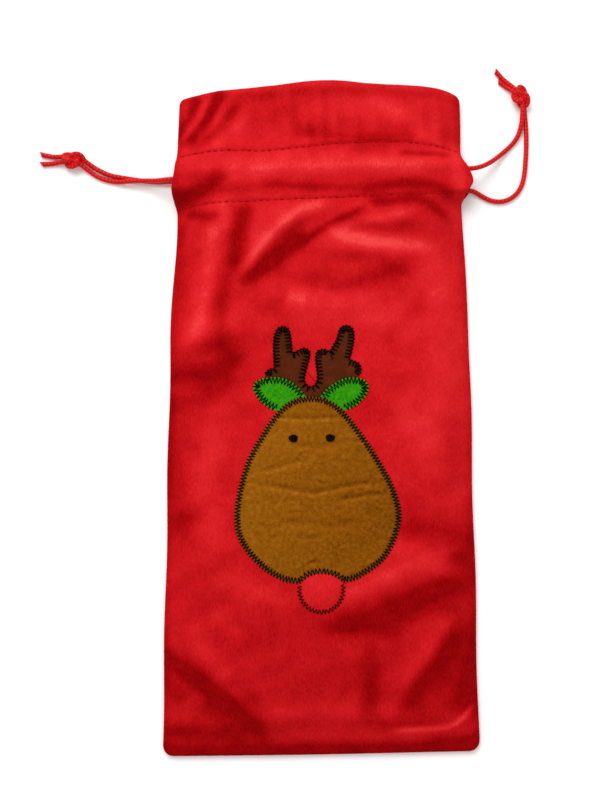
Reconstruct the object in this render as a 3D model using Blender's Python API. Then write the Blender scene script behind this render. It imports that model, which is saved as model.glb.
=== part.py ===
"""Velvet drawstring gift bag for a wine bottle, lying empty and flat on its back.

X runs across the bag, Y runs from the sewn bottom to the mouth, and Z points up off the table.
The origin lies on the table under the middle of the bag. All sizes are in metres.

The cloth pieces are thin shells between two height fields. A place on the cloth is given by
u, which goes from -1 at the left side seam to 1 at the right one, and v, its distance along Y
before the mouth's arch is applied.
"""

from math import cos, pi, sin, sqrt

import bmesh
import bpy
from mathutils import Vector

# Overall sizes
BAG_WIDTH = 0.155
BAG_LENGTH = 0.350
BOTTOM_CORNER = 0.0055
MOUTH_CORNER = 0.0030
MOUTH_DROP = 0.0100
WAIST_PINCH = 0.0022
CASING_BULGE = 0.0014
ARCH_POWER = 1.6

# Distances from a stitch row between which the cloth's width or height changes
WAIST_START, WAIST_STOP = 0.075, 0.008
BULGE_START, BULGE_STOP = 0.004, 0.001
CROWN_START, CROWN_STOP = 0.036, 0.003
RUFFLE_START, RUFFLE_STOP = 0.001, 0.009
HEM_START, HEM_STOP = 0.010, 0.001

# Cloth, thread and clearances
PANEL = 0.0010
FACING = 0.0006
FELT = 0.0008
THREAD = 0.0003
SEAM_THREAD = 0.0004
GAP = 0.0003

# Mouth hem: ruffle above the casing, casing, and the facing's tail below it
RUFFLE = 0.0370
CASING = 0.0295
FACING_TAIL = 0.0070
FACING_INSET = 0.0012
HOLLOW = 0.0050
CASING_MIDDLE_SHARE = 0.39

# Drawcords
CORD = 0.0025
CORD_PLAY = 0.00025
CORD_STEP = 2.6 * CORD
CORD_LIFT = 0.0001
RUN_STEPS = 12
RUN_MARGIN = 0.004
TURN_STEPS = 6
TAIL_Z = 0.0026
TRIM_STEP = 0.02

# Raised middle of the front panel, which carries the reindeer
PLATEAU_HALF = 0.0480
PLATEAU_BOTTOM = -0.1150
SIDE_ROUNDING = 2.2

# Stitching
ZIGZAG_PITCH = 0.0026
ZIGZAG_SWING = 0.0022
ZIGZAG_INSET = 0.0012
NOSE_SWING = 0.0014
THREAD_HALF = 0.0005
TOPSTITCH_PITCH = 0.0035
TOPSTITCH_WIDE = 0.00035
TOPSTITCH_NARROW = 0.00012
TOPSTITCH_REACH = 0.95
GROOVE_HALF = 0.0007
GROOVE_WALL = 0.0003
SEAM_INSET = 0.0030

# Places that follow from the sizes above
BOTTOM = -BAG_LENGTH / 2
MOUTH = BAG_LENGTH / 2
UPPER_ROW = MOUTH - RUFFLE
LOWER_ROW = UPPER_ROW - CASING
FACING_END = LOWER_ROW - FACING_TAIL
TUNNEL = CORD + 2 * CORD_PLAY
BACK_FACING_TOP = PANEL + TUNNEL + FACING
HOLLOW_TOP = BACK_FACING_TOP + HOLLOW
CASING_CROWN = HOLLOW_TOP + FACING + TUNNEL + PANEL
BODY_CROWN = HOLLOW_TOP + PANEL
RUFFLE_CROWN = HOLLOW_TOP + FACING + GAP + PANEL
BODY_EDGE = 2 * PANEL + 2 * GAP + SEAM_THREAD
HEM_EDGE = 2 * PANEL + 2 * FACING + 3 * GAP
BACK_RUN_Z = PANEL + TUNNEL / 2
FRONT_RUN_Z = CASING_CROWN - PANEL - TUNNEL / 2
CASING_MIDDLE = LOWER_ROW + CASING_MIDDLE_SHARE * CASING
PATCH_Z = BODY_CROWN + GAP
STITCH_Z = PATCH_Z + FELT + GAP

# Where the four runs cross the casing, measured from its middle line
LEFT_FRONT_RUN = -0.0015
LEFT_BACK_RUN = 0.0005
RIGHT_FRONT_RUN = 0.0045
RIGHT_BACK_RUN = -0.0050
SLIT_MARGIN = CORD / 2 + 2 * GAP
SLIT_LOW = CASING_MIDDLE + RIGHT_BACK_RUN - SLIT_MARGIN
SLIT_HIGH = CASING_MIDDLE + RIGHT_FRONT_RUN + SLIT_MARGIN
SLIT_RISE = 0.0060

# Free strands, which end in a knot, as distance out from the side, distance along Y from the casing's
# middle, and height.
# A height of None is the cord lying on the table.
KNOT_Z = 0.0037
LEFT_FRONT_STRAND = [
    (0.003, -0.0016, 0.0109), (0.009, -0.0010, 0.0076), (0.015, -0.0001, 0.0050),
    (0.0205, 0.0002, 0.0041), (0.0255, 0.0002, 0.0031), (0.029, 0.0003, 0.0022),
    (0.033, 0.0008, None), (0.037, 0.0017, None), (0.041, 0.0034, None), (0.0455, 0.0064, None),
    (0.0520, 0.0112, KNOT_Z),
]
LEFT_BACK_STRAND = [
    (0.003, 0.0004, 0.0023), (0.009, 0.0004, 0.0016), (0.015, 0.0009, None),
    (0.022, 0.0019, None), (0.028, 0.0029, None), (0.034, 0.0041, None),
    (0.039, 0.0062, None), (0.0445, 0.0095, None), (0.0515, 0.0145, KNOT_Z),
]
RIGHT_FRONT_STRAND = [
    (0.0035, 0.0046, 0.0108), (0.0095, 0.0070, 0.0080), (0.0150, 0.0109, 0.0048),
    (0.0200, 0.0154, 0.0024), (0.0245, 0.0197, None), (0.0278, 0.0234, None),
    (0.0300, 0.0272, 0.0017), (0.0313, 0.0315, 0.0026), (0.0320, 0.0360, 0.0034),
    (0.0324, 0.0450, 0.0048),
]
RIGHT_BACK_STRAND = [
    (0.0032, -0.0047, 0.0022), (0.0062, -0.0054, 0.0016), (0.0095, -0.0074, None),
    (0.0134, -0.0095, None), (0.0173, -0.0104, None), (0.0213, -0.0101, None),
    (0.0253, -0.0083, None), (0.0286, -0.0052, None), (0.0310, -0.0009, None),
    (0.0325, 0.0050, None), (0.0333, 0.0116, None), (0.0339, 0.0189, None),
    (0.0342, 0.0270, None), (0.0341, 0.0330, None), (0.0338, 0.0385, 0.0015),
    (0.0334, 0.0450, 0.0022),
]
LEFT_KNOT_SIZE = (0.0060, 0.0045, 0.0034)
LEFT_KNOT = (0.0542, 0.0121)
LEFT_TAILS = [
    [(0.0555, 0.0134), (0.0601, 0.0142), (0.0655, 0.0147), (0.0718, 0.0159)],
    [(0.0555, 0.0112), (0.0600, 0.0113), (0.0655, 0.0108), (0.0713, 0.0104)],
]
RIGHT_KNOT_SIZE = (0.0038, 0.0054, 0.0034)
RIGHT_KNOT = (0.0317, 0.0478)
RIGHT_TAILS = [
    [(0.0310, 0.0500), (0.0273, 0.0541), (0.0230, 0.0586), (0.0187, 0.0636)],
    [(0.0302, 0.0490), (0.0270, 0.0520), (0.0238, 0.0547), (0.0203, 0.0578)],
]
KNOT_RINGS = 12
KNOT_SIDES = 16
KNOT_GROOVE = 0.10
KNOT_TWIST = 2
KNOT_SLANT = 2.5

# Reindeer: each outline is a list of runs that meet at corners, as (x, y)
HEAD_RUNS = [
    [(0.0115, -0.0915), (0.0200, -0.0887), (0.0330, -0.0785), (0.0400, -0.0610),
     (0.0375, -0.0455), (0.0285, -0.0280), (0.0170, -0.0110), (0.0080, -0.0018),
     (-0.0015, 0.0020), (-0.0130, 0.0008), (-0.0220, -0.0058), (-0.0300, -0.0175),
     (-0.0375, -0.0320), (-0.0425, -0.0530), (-0.0410, -0.0695), (-0.0310, -0.0828),
     (-0.0195, -0.0902), (-0.0102, -0.0920)],
    [(-0.0102, -0.0920), (-0.0062, -0.0877), (0.0005, -0.0862), (0.0072, -0.0877),
     (0.0115, -0.0915)],
]
LEFT_EAR_RUNS = [
    [(-0.0062, 0.0009), (-0.0110, 0.0070), (-0.0170, 0.0112), (-0.0240, 0.0124),
     (-0.0305, 0.0114), (-0.0340, 0.0080), (-0.0320, 0.0020), (-0.0272, -0.0028),
     (-0.0205, -0.0060)],
    [(-0.0205, -0.0060), (-0.0062, 0.0009)],
]
RIGHT_EAR_RUNS = [
    [(0.0125, -0.0050), (0.0178, -0.0027), (0.0224, 0.0016), (0.0247, 0.0070),
     (0.0222, 0.0112), (0.0165, 0.0122), (0.0110, 0.0112), (0.0040, 0.0068),
     (-0.0001, 0.0019)],
    [(-0.0001, 0.0019), (0.0125, -0.0050)],
]
ANTLER_TRACED_RUNS = [
    [(0.0188, 0.0118), (0.0208, 0.0155), (0.0198, 0.0195), (0.0150, 0.0216)],
    [(0.0150, 0.0216), (0.0164, 0.0270), (0.0174, 0.0335), (0.0165, 0.0382),
     (0.0130, 0.0396), (0.0100, 0.0375), (0.0086, 0.0325), (0.0050, 0.0258)],
    [(0.0050, 0.0258), (0.0020, 0.0271), (-0.0014, 0.0258), (-0.0022, 0.0215),
     (-0.0013, 0.0125), (-0.0022, 0.0088), (-0.0048, 0.0074), (-0.0073, 0.0090),
     (-0.0079, 0.0125), (-0.0053, 0.0232), (-0.0056, 0.0262), (-0.0085, 0.0275),
     (-0.0141, 0.0248)],
    [(-0.0141, 0.0248), (-0.0150, 0.0330), (-0.0162, 0.0378), (-0.0190, 0.0389),
     (-0.0222, 0.0370), (-0.0237, 0.0300), (-0.0233, 0.0170)],
    [(-0.0233, 0.0170), (-0.0262, 0.0163), (-0.0282, 0.0135), (-0.0270, 0.0085)],
]
ANTLER_HIDDEN_RUN = [(-0.0270, 0.0085), (-0.0100, -0.0030), (0.0040, -0.0030), (0.0188, 0.0118)]
NOSE_CENTRE = (0.0007, -0.0970)
NOSE_RADIUS = 0.0106
NOSE_ARC_START = 20.0
NOSE_ARC_STEPS = 24
NOSE_SIDES = 32
EYE_PLACES = {"left_eye": (-0.0136, -0.0193), "right_eye": (0.0050, -0.0190)}
EYE_RADIUS = 0.0023
EYE_SIDES = 16
OUTLINE_STEP = 0.0030

RED_VELVET = ((0.572, 0.0065, 0.010), 0.90)
RED_FACING = ((0.500, 0.0060, 0.009), 0.85)
RED_SATIN = ((0.600, 0.0100, 0.015), 0.35)
DARK_RED_THREAD = ((0.230, 0.0030, 0.005), 0.60)
BLACK_THREAD = ((0.012, 0.010, 0.010), 0.55)
BROWN_FELT = ((0.254, 0.074, 0.004), 0.85)
DARK_BROWN_FELT = ((0.100, 0.022, 0.007), 0.85)
GREEN_FELT = ((0.022, 0.242, 0.003), 0.80)


# ---- Small maths ---------------------------------------------------------------------------

def ramp(start, stop, value):
    """Rise smoothly from 0 at start to 1 at stop."""
    share = min(1.0, max(0.0, (value - start) / (stop - start)))
    return share * share * (3.0 - 2.0 * share)


def spread(*stops):
    """List the values of (stop, steps to the next stop) pairs, ending with a bare last stop."""
    values = []
    for (here, steps), there in zip(stops, stops[1:]):
        end = there[0] if isinstance(there, tuple) else there
        values += [here + (end - here) * index / steps for index in range(steps)]
    return values + [stops[-1]]


def smooth_curve(points, step):
    """Sample a Catmull-Rom curve through 2-D or 3-D points, about one sample for each step."""
    points = [Vector(point) for point in points]
    if len(points) == 2:
        return points
    ends = [2 * points[0] - points[1]] + points + [2 * points[-1] - points[-2]]
    samples = []
    for before, start, stop, after in zip(ends, ends[1:], ends[2:], ends[3:]):
        pieces = max(1, round((stop - start).length / step))
        for index in range(pieces):
            t = index / pieces
            samples.append(0.5 * (2 * start + (stop - before) * t
                                  + (2 * before - 5 * start + 4 * stop - after) * t ** 2
                                  + (3 * start - before - 3 * stop + after) * t ** 3))
    return samples + [points[-1]]


def even_points(path, step, closed):
    """Walk along a path and return an even number of equal steps with their normals."""
    loop = path + [path[0]] if closed else path
    lengths = [0.0]
    for start, stop in zip(loop, loop[1:]):
        lengths.append(lengths[-1] + (stop - start).length)
    count = 2 * max(2, round(lengths[-1] / step / 2))
    places, segment = [], 0
    for index in range(count if closed else count + 1):
        distance = lengths[-1] * index / count
        while segment < len(loop) - 2 and lengths[segment + 1] < distance:
            segment += 1
        span = lengths[segment + 1] - lengths[segment]
        places.append(loop[segment].lerp(loop[segment + 1], (distance - lengths[segment]) / span))
    return places, normals_of(places, closed)


def normals_of(places, closed):
    """Left-hand unit normals of a 2-D path."""
    last = len(places) - 1
    normals = []
    for index in range(len(places)):
        before = places[index - 1] if closed or index else places[0]
        after = places[(index + 1) % len(places)] if closed or index < last else places[last]
        along = (after - before).normalized()
        normals.append(Vector((-along.y, along.x)))
    return normals


def offset_path(path, distance, closed):
    """Move a 2-D path to its left by a distance."""
    return [place + normal * distance for place, normal in zip(path, normals_of(path, closed))]


def outline_of(runs):
    """Join smooth runs that meet at corners into one closed outline."""
    outline = []
    for run in runs:
        outline += smooth_curve(run, OUTLINE_STEP)[:-1]
    return outline


# ---- The shape of the cloth ----------------------------------------------------------------

def corner_trim(radius, depth):
    """Width that a round corner takes off each side at a depth from the edge."""
    if depth >= radius:
        return 0.0
    return radius - sqrt(radius ** 2 - (radius - depth) ** 2)


def half_width(v):
    """Half the bag's width: pinched under the casing, with small round corners."""
    pinch = WAIST_PINCH * ramp(LOWER_ROW - WAIST_START, LOWER_ROW - WAIST_STOP, v)
    casing = (ramp(LOWER_ROW - BULGE_START, SLIT_LOW, v)
              * (1.0 - ramp(SLIT_HIGH, UPPER_ROW + BULGE_STOP, v)))
    corners = corner_trim(BOTTOM_CORNER, v - BOTTOM) + corner_trim(MOUTH_CORNER, MOUTH - v)
    return BAG_WIDTH / 2 - pinch + CASING_BULGE * casing - corners


def along(u, v):
    """Y of a place on the cloth: the mouth is highest in the middle."""
    share = max(0.0, (v - FACING_END) / (MOUTH - FACING_END))
    return v - MOUTH_DROP * share * abs(u) ** ARCH_POWER


def slit(y):
    """1 where the side seam is left open for the cords, 0 where it is sewn."""
    return ramp(SLIT_LOW - SLIT_RISE, SLIT_LOW, y) * (1.0 - ramp(SLIT_HIGH, SLIT_HIGH + SLIT_RISE, y))


def rise(u, v):
    """Share of the full height: 1 on the plateau and in the side slits, 0 at a sewn edge."""
    side = half_width(v)
    reach = max(0.0, (abs(u) * side - PLATEAU_HALF) / (side - PLATEAU_HALF))
    sewn = 1.0 - min(1.0, reach) ** SIDE_ROUNDING
    across = sewn + (1.0 - sewn) * slit(along(u, v))
    foot = min(1.0, (v - BOTTOM) / (PLATEAU_BOTTOM - BOTTOM))
    return across * (1.0 - (1.0 - foot) ** SIDE_ROUNDING)


def crown(v):
    """Height of the front panel's plateau: body, higher casing, lower ruffle."""
    casing = ramp(LOWER_ROW - CROWN_START, LOWER_ROW - CROWN_STOP, v)
    ruffle = ramp(UPPER_ROW + RUFFLE_START, UPPER_ROW + RUFFLE_STOP, v)
    return BODY_CROWN + (CASING_CROWN - BODY_CROWN) * casing - (CASING_CROWN - RUFFLE_CROWN) * ruffle


def front_top(u, v):
    """Outer face of the front panel."""
    edge = BODY_EDGE + (HEM_EDGE - BODY_EDGE) * ramp(FACING_END - HEM_START, FACING_END - HEM_STOP, v)
    return edge + (crown(v) - edge) * rise(u, v)


def front_inner(u, v):
    """Inner face of the front panel."""
    return front_top(u, v) - PANEL


def tunnel_drop(u, v):
    """Space between a panel and its facing: a cord tunnel between the stitch rows."""
    arch = MOUTH_DROP * (SLIT_HIGH - FACING_END) / (MOUTH - FACING_END)
    between = (ramp(LOWER_ROW + GROOVE_HALF, SLIT_LOW, v)
               * (1.0 - ramp(SLIT_HIGH + arch, UPPER_ROW - GROOVE_HALF, v)))
    return GAP + (TUNNEL - GAP) * between * rise(u, v)


def front_facing_top(u, v):
    """Upper face of the front facing, under the front panel."""
    return front_inner(u, v) - tunnel_drop(u, v)


def back_facing_bottom(u, v):
    """Lower face of the back facing, over the back panel."""
    return PANEL + tunnel_drop(u, v)


def back_bottom(u, v):
    """Underside of the back panel: flat, with a groove for each stitch row."""
    nearest = min(abs(v - UPPER_ROW), abs(v - LOWER_ROW))
    return 0.0 if nearest > GROOVE_HALF + GROOVE_WALL / 2 else 2 * THREAD


def panel_plan(u, v):
    """Place of a panel point in the XY plane."""
    return u * half_width(v), along(u, v)


def facing_plan(u, v):
    """Place of a facing point: inside the panels and cut back beside the slits."""
    side = half_width(v)
    notch = max(0.0, side - FACING_INSET - U_TURN_X + GAP) * slit(along(1.0, v))
    return u * (side - FACING_INSET - notch), along(u, v)


# ---- Object makers -------------------------------------------------------------------------

def clear_scene():
    """Remove every object that the scene starts with."""
    for item in list(bpy.data.objects):
        bpy.data.objects.remove(item, do_unlink=True)


def make_material(name, look):
    """Make a matt or satin Principled material."""
    colour, roughness = look
    material = bpy.data.materials.new(name)
    material.use_nodes = True
    shader = material.node_tree.nodes["Principled BSDF"]
    shader.inputs["Base Color"].default_value = (*colour, 1.0)
    shader.inputs["Roughness"].default_value = roughness
    shader.inputs["Metallic"].default_value = 0.0
    return material


def make_empty(name, location, parent=None):
    """Make an empty that carries a moving or a resting group."""
    empty = bpy.data.objects.new(name, None)
    bpy.context.collection.objects.link(empty)
    empty.location = location
    empty.parent = parent
    return empty


def place(item, look, parent, location=(0.0, 0.0, 0.0)):
    """Link an object, give it its own material and hang it on its parent."""
    bpy.context.collection.objects.link(item)
    item.data.materials.append(make_material(item.name, look))
    item.parent = parent
    item.location = Vector(location) - parent.location
    return item


def mesh_object(name, vertices, faces, look, parent, location=(0.0, 0.0, 0.0)):
    """Make a closed mesh whose faces point out."""
    mesh = bpy.data.meshes.new(name)
    mesh.from_pydata([tuple(vertex) for vertex in vertices], [], faces)
    shape = bmesh.new()
    shape.from_mesh(mesh)
    bmesh.ops.recalc_face_normals(shape, faces=shape.faces)
    shape.to_mesh(mesh)
    shape.free()
    return place(bpy.data.objects.new(name, mesh), look, parent, location)


def cloth_shell(name, us, vs, plan, low, high, look, parent):
    """Close a cloth between its low and its high face on one grid of places."""
    flat = [(u, v) for v in vs for u in us]
    tops = [(*plan(u, v), high(u, v)) for u, v in flat]
    bottoms = [(*plan(u, v), low(u, v)) for u, v in flat]
    width, height = len(us), len(vs)
    under = width * height
    faces = []
    for row in range(height - 1):
        for column in range(width - 1):
            corner = row * width + column
            quad = (corner, corner + 1, corner + width + 1, corner + width)
            faces.append(quad)
            faces.append(tuple(under + index for index in reversed(quad)))
    rim = [column for column in range(width)]
    rim += [row * width + width - 1 for row in range(1, height)]
    rim += [under - 1 - column for column in range(1, width)]
    rim += [row * width for row in range(height - 2, 0, -1)]
    for here, there in zip(rim, rim[1:] + rim[:1]):
        faces.append((here, under + here, under + there, there))
    return mesh_object(name, tops + bottoms, faces, look, parent)


def ribbon(name, centres, normals, halves, lows, thickness, closed, look, parent):
    """Sweep a flat thread along centres, with its own half width and height at each one."""
    vertices, faces = [], []
    for centre, normal, half, low in zip(centres, normals, halves, lows):
        left, right = centre + normal * half, centre - normal * half
        vertices += [(left.x, left.y, low), (right.x, right.y, low),
                     (right.x, right.y, low + thickness), (left.x, left.y, low + thickness)]
    count = len(centres)
    for index in range(count if closed else count - 1):
        here, there = 4 * index, 4 * ((index + 1) % count)
        for side in range(4):
            follow = (side + 1) % 4
            faces.append((here + side, here + follow, there + follow, there + side))
    if not closed:
        faces += [(3, 2, 1, 0), tuple(4 * (count - 1) + side for side in range(4))]
    return mesh_object(name, vertices, faces, look, parent)


def zigzag(name, path, swing, closed, parent):
    """Lay a zigzag stitch of black thread along a path, over a patch's edge."""
    places, normals = even_points(path, ZIGZAG_PITCH / 2, closed)
    sides = [1 if index % 2 else -1 for index in range(len(places))]
    centres = [spot + normal * side * swing / 2 for spot, normal, side in zip(places, normals, sides)]
    count = len(centres)
    return ribbon(name, centres, normals, [THREAD_HALF] * count, [STITCH_Z] * count, THREAD,
                  closed, BLACK_THREAD, parent)


def topstitch(name, v, surface, reach, parent):
    """Lay a row of dashes across the bag: wide in each stitch, narrow where it dives."""
    count = 2 * round(reach * 2 * half_width(v) / TOPSTITCH_PITCH)
    us = [reach * (2 * index / count - 1) for index in range(count + 1)]
    centres = [Vector(panel_plan(u, v)) for u in us]
    halves = [TOPSTITCH_WIDE if index % 2 else TOPSTITCH_NARROW for index in range(count + 1)]
    return ribbon(name, centres, normals_of(centres, False), halves, [surface(u, v) for u in us],
                  THREAD, False, DARK_RED_THREAD, parent)


def patch(name, outline, look, parent, z=PATCH_Z, thickness=FELT):
    """Cut a flat patch of cloth to an outline."""
    count = len(outline)
    vertices = [(point.x, point.y, 0.0) for point in outline]
    vertices += [(point.x, point.y, thickness) for point in outline]
    faces = [tuple(reversed(range(count))), tuple(range(count, 2 * count))]
    for index in range(count):
        follow = (index + 1) % count
        faces.append((index, follow, count + follow, count + index))
    return mesh_object(name, vertices, faces, look, parent, (0.0, 0.0, z))


def cutter(name, outline, parent):
    """Make a wider copy of a patch that cuts the patches under it."""
    wide = offset_path(outline, -GAP, True)
    tool = patch(name, wide, BLACK_THREAD, parent, PATCH_Z - FELT, 3 * FELT)
    tool.hide_render = True
    tool.display_type = "WIRE"
    return tool


def boolean(item, operation, tool):
    """Combine an object with another one, exactly."""
    step = item.modifiers.new(f"{operation.lower()}_{tool.name}", "BOOLEAN")
    step.operation = operation
    step.solver = "EXACT"
    step.object = tool


def tube(name, points, look, parent, origin):
    """Make a round cord with filled ends along 3-D points, kept relative to its origin."""
    curve = bpy.data.curves.new(name, "CURVE")
    curve.dimensions = "3D"
    curve.bevel_depth = CORD / 2
    curve.bevel_resolution = 2
    curve.use_fill_caps = True
    spline = curve.splines.new("POLY")
    spline.points.add(len(points) - 1)
    for point, spot in zip(spline.points, points):
        point.co = (*(spot - Vector(origin)), 1.0)
    return place(bpy.data.objects.new(name, curve), look, parent, origin)


# ---- The bag -------------------------------------------------------------------------------

def build_panels(bag):
    """Front and back panels, and the facings turned in at the mouth."""
    columns = spread((-1.0, 1), (-0.985, 1), (-0.955, 1), (-0.91, 1), (-0.84, 1), (-0.74, 1),
                     (-0.62, 3), (0.0, 3), (0.62, 1), (0.74, 1), (0.84, 1), (0.91, 1),
                     (0.955, 1), (0.985, 1), 1.0)
    rows = spread((BOTTOM, 4), (BOTTOM + BOTTOM_CORNER, 2), (BOTTOM + 0.018, 3),
                  (PLATEAU_BOTTOM, 3), (LOWER_ROW - 0.040, 5), (FACING_END, 3),
                  (LOWER_ROW, 2), (SLIT_LOW, 3), (SLIT_HIGH, 6), (UPPER_ROW, 4),
                  (UPPER_ROW + 0.010, 3), (MOUTH - MOUTH_CORNER, 3), MOUTH)
    cloth_shell("front_panel", columns, rows, panel_plan, front_inner, front_top, RED_VELVET, bag)

    few_columns = spread((-1.0, 5), (0.0, 5), 1.0)
    back_rows = [v for v in rows if min(abs(v - UPPER_ROW), abs(v - LOWER_ROW)) > 0.0015]
    for row in (LOWER_ROW, UPPER_ROW):
        for side in (-1, 1):
            back_rows += [row + side * GROOVE_HALF, row + side * (GROOVE_HALF + GROOVE_WALL)]
    cloth_shell("back_panel", few_columns, sorted(back_rows), panel_plan, back_bottom,
                lambda u, v: PANEL, RED_VELVET, bag)

    hem_end = MOUTH - FACING_INSET
    hem_rows = [v for v in rows if FACING_END - GAP < v < hem_end - GAP] + [hem_end]
    cloth_shell("front_facing", columns, hem_rows, facing_plan,
                lambda u, v: front_facing_top(u, v) - FACING, front_facing_top, RED_FACING, bag)
    cloth_shell("back_facing", columns, hem_rows, facing_plan, back_facing_bottom,
                lambda u, v: back_facing_bottom(u, v) + FACING, RED_FACING, bag)


def build_seams(bag):
    """Side and bottom seam threads between the panels, and the casing's four stitch rows."""
    seam_z = PANEL + GAP
    for name, side in (("left_seam_thread", -1), ("right_seam_thread", 1)):
        vs = spread((BOTTOM + 2 * SEAM_INSET, 40), FACING_END - SEAM_INSET)
        centres = [Vector((side * (half_width(v) - SEAM_INSET), v)) for v in vs]
        seam_ribbon(name, centres, seam_z, bag)
    reach = half_width(BOTTOM) - 2 * SEAM_INSET
    centres = [Vector((x, BOTTOM + SEAM_INSET)) for x in spread((-reach, 30), reach)]
    seam_ribbon("bottom_seam_thread", centres, seam_z, bag)

    def on_front(u, v):
        return max(front_top(u + shift, v) for shift in (-0.01, 0.0, 0.01)) + GAP

    def on_back(u, v):
        return CORD_LIFT / 2

    topstitch("front_upper_casing_stitches", UPPER_ROW, on_front, TOPSTITCH_REACH, bag)
    topstitch("front_lower_casing_stitches", LOWER_ROW, on_front, TOPSTITCH_REACH, bag)
    topstitch("back_upper_casing_stitches", UPPER_ROW, on_back, TOPSTITCH_REACH, bag)
    topstitch("back_lower_casing_stitches", LOWER_ROW, on_back, TOPSTITCH_REACH, bag)


def seam_ribbon(name, centres, z, bag):
    """Lay one seam thread that swells in each stitch."""
    count = len(centres)
    halves = [TOPSTITCH_WIDE if index % 2 else TOPSTITCH_NARROW for index in range(count)]
    ribbon(name, centres, normals_of(centres, False), halves, [z] * count, SEAM_THREAD, False,
           DARK_RED_THREAD, bag)


def build_reindeer(bag):
    """Patches of the reindeer and the zigzag stitching along their edges."""
    head = outline_of(HEAD_RUNS)
    ears = {"left": outline_of(LEFT_EAR_RUNS), "right": outline_of(RIGHT_EAR_RUNS)}
    antlers = outline_of(ANTLER_TRACED_RUNS + [ANTLER_HIDDEN_RUN])
    nose = [Vector(NOSE_CENTRE) + NOSE_RADIUS * Vector((cos(turn), sin(turn)))
            for turn in (2 * pi * index / NOSE_SIDES for index in range(NOSE_SIDES))]

    head_cutter = cutter("head_cutter", head, bag)
    patch("head_patch", head, BROWN_FELT, bag)
    under = [patch("antler_patch", antlers, DARK_BROWN_FELT, bag),
             patch("nose_patch", nose, RED_VELVET, bag)]
    for side, outline in ears.items():
        ear = patch(f"{side}_ear_patch", outline, GREEN_FELT, bag)
        boolean(ear, "DIFFERENCE", head_cutter)
        boolean(under[0], "DIFFERENCE", cutter(f"{side}_ear_cutter", outline, bag))
    for item in under:
        boolean(item, "DIFFERENCE", head_cutter)
    for name, spot in EYE_PLACES.items():
        ring = [Vector(spot) + EYE_RADIUS * Vector((cos(turn), sin(turn)))
                for turn in (2 * pi * index / EYE_SIDES for index in range(EYE_SIDES))]
        patch(name, ring, BLACK_THREAD, bag, STITCH_Z, THREAD)

    zigzag("head_zigzag", offset_path(head, ZIGZAG_INSET, True), ZIGZAG_SWING, True, bag)
    clear = ZIGZAG_SWING / 2 + THREAD_HALF + GAP
    for side, runs in (("left", LEFT_EAR_RUNS), ("right", RIGHT_EAR_RUNS)):
        edge = offset_path(smooth_curve(runs[0], OUTLINE_STEP), ZIGZAG_INSET, False)
        edge = [spot for spot in edge if distance_to(spot, head) > 2 * clear]
        zigzag(f"{side}_ear_zigzag", edge, ZIGZAG_SWING, False, bag)
    edge = [spot for run in ANTLER_TRACED_RUNS for spot in smooth_curve(run, OUTLINE_STEP)[:-1]]
    edge = offset_path(edge, ZIGZAG_INSET, False)
    apart = ears["left"] + ears["right"]
    edge = [spot for spot in edge if distance_to(spot, apart) > 2 * clear]
    zigzag("antler_zigzag", edge, ZIGZAG_SWING, False, bag)
    centre = Vector(NOSE_CENTRE)
    first, last = -(180.0 - NOSE_ARC_START), -NOSE_ARC_START
    turns = spread((first, NOSE_ARC_STEPS), last)
    arc = [centre + (NOSE_RADIUS - NOSE_SWING / 2) * Vector((cos(turn * pi / 180), sin(turn * pi / 180)))
           for turn in turns]
    arc = [spot for spot in arc if distance_to(spot, head) > clear + GAP]
    zigzag("nose_zigzag", arc, NOSE_SWING, False, bag)


def distance_to(spot, outline):
    """Distance from a place to the nearest point of an outline."""
    return min((spot - point).length for point in outline)


# ---- Drawcords -----------------------------------------------------------------------------

def exit_x():
    """Distance of the slits from the bag's middle."""
    return half_width(CASING_MIDDLE)


U_TURN_RADIUS = (FRONT_RUN_Z - BACK_RUN_Z) / 2
U_TURN_X = exit_x() - CORD / 2 - GAP - U_TURN_RADIUS


def strand_points(side, strand):
    """Places of a free strand, from the slit out to its knot."""
    lying = CORD / 2 + CORD_LIFT
    return [Vector((side * (exit_x() + out), CASING_MIDDLE + step, lying if z is None else z))
            for out, step, z in strand]


def cord_route(side, front_run, back_run, front_strand, back_strand):
    """Route of a drawcord: knot, front casing, turn at the far side, back casing, knot."""
    front_y, back_y = CASING_MIDDLE + front_run, CASING_MIDDLE + back_run
    route = list(reversed(strand_points(side, front_strand)))
    route += [Vector((side * x, front_y, FRONT_RUN_Z))
              for x in spread((exit_x() - RUN_MARGIN, RUN_STEPS), -U_TURN_X)]
    for index in range(1, TURN_STEPS):
        turn = pi * index / TURN_STEPS
        middle = (FRONT_RUN_Z + BACK_RUN_Z) / 2
        route.append(Vector((-side * (U_TURN_X + U_TURN_RADIUS * sin(turn)),
                             front_y + (back_y - front_y) * index / TURN_STEPS,
                             middle + U_TURN_RADIUS * cos(turn))))
    route += [Vector((side * x, back_y, BACK_RUN_Z))
              for x in spread((-U_TURN_X, RUN_STEPS), exit_x() - RUN_MARGIN)]
    return route + strand_points(side, back_strand)


def knot_middle(side, centre):
    """Middle of a knot."""
    out, step = centre
    return Vector((side * (exit_x() + out), CASING_MIDDLE + step, KNOT_Z))


def stop_at_knot(route, middle, size):
    """Shorten the start of a route so that its end face stays a gap away from the knot."""
    def touches(spot, along_route):
        sideways = along_route.orthogonal().normalized()
        upward = along_route.cross(sideways).normalized()
        rim = [spot + (sideways * cos(turn) + upward * sin(turn)) * CORD / 2
               for turn in (2 * pi * index / 8 for index in range(8))] + [spot]
        return any(sum(((point - middle)[axis] / (size[axis] + GAP)) ** 2 for axis in range(3)) < 1.0
                   for point in rim)

    while touches(route[1], route[2] - route[1]):
        route = route[1:]
    inner, outer = route[0], route[1]
    share = 0.0
    while share < 1.0 and touches(inner.lerp(outer, share), outer - inner):
        share += TRIM_STEP
    return [inner.lerp(outer, share)] + route[1:]


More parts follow.
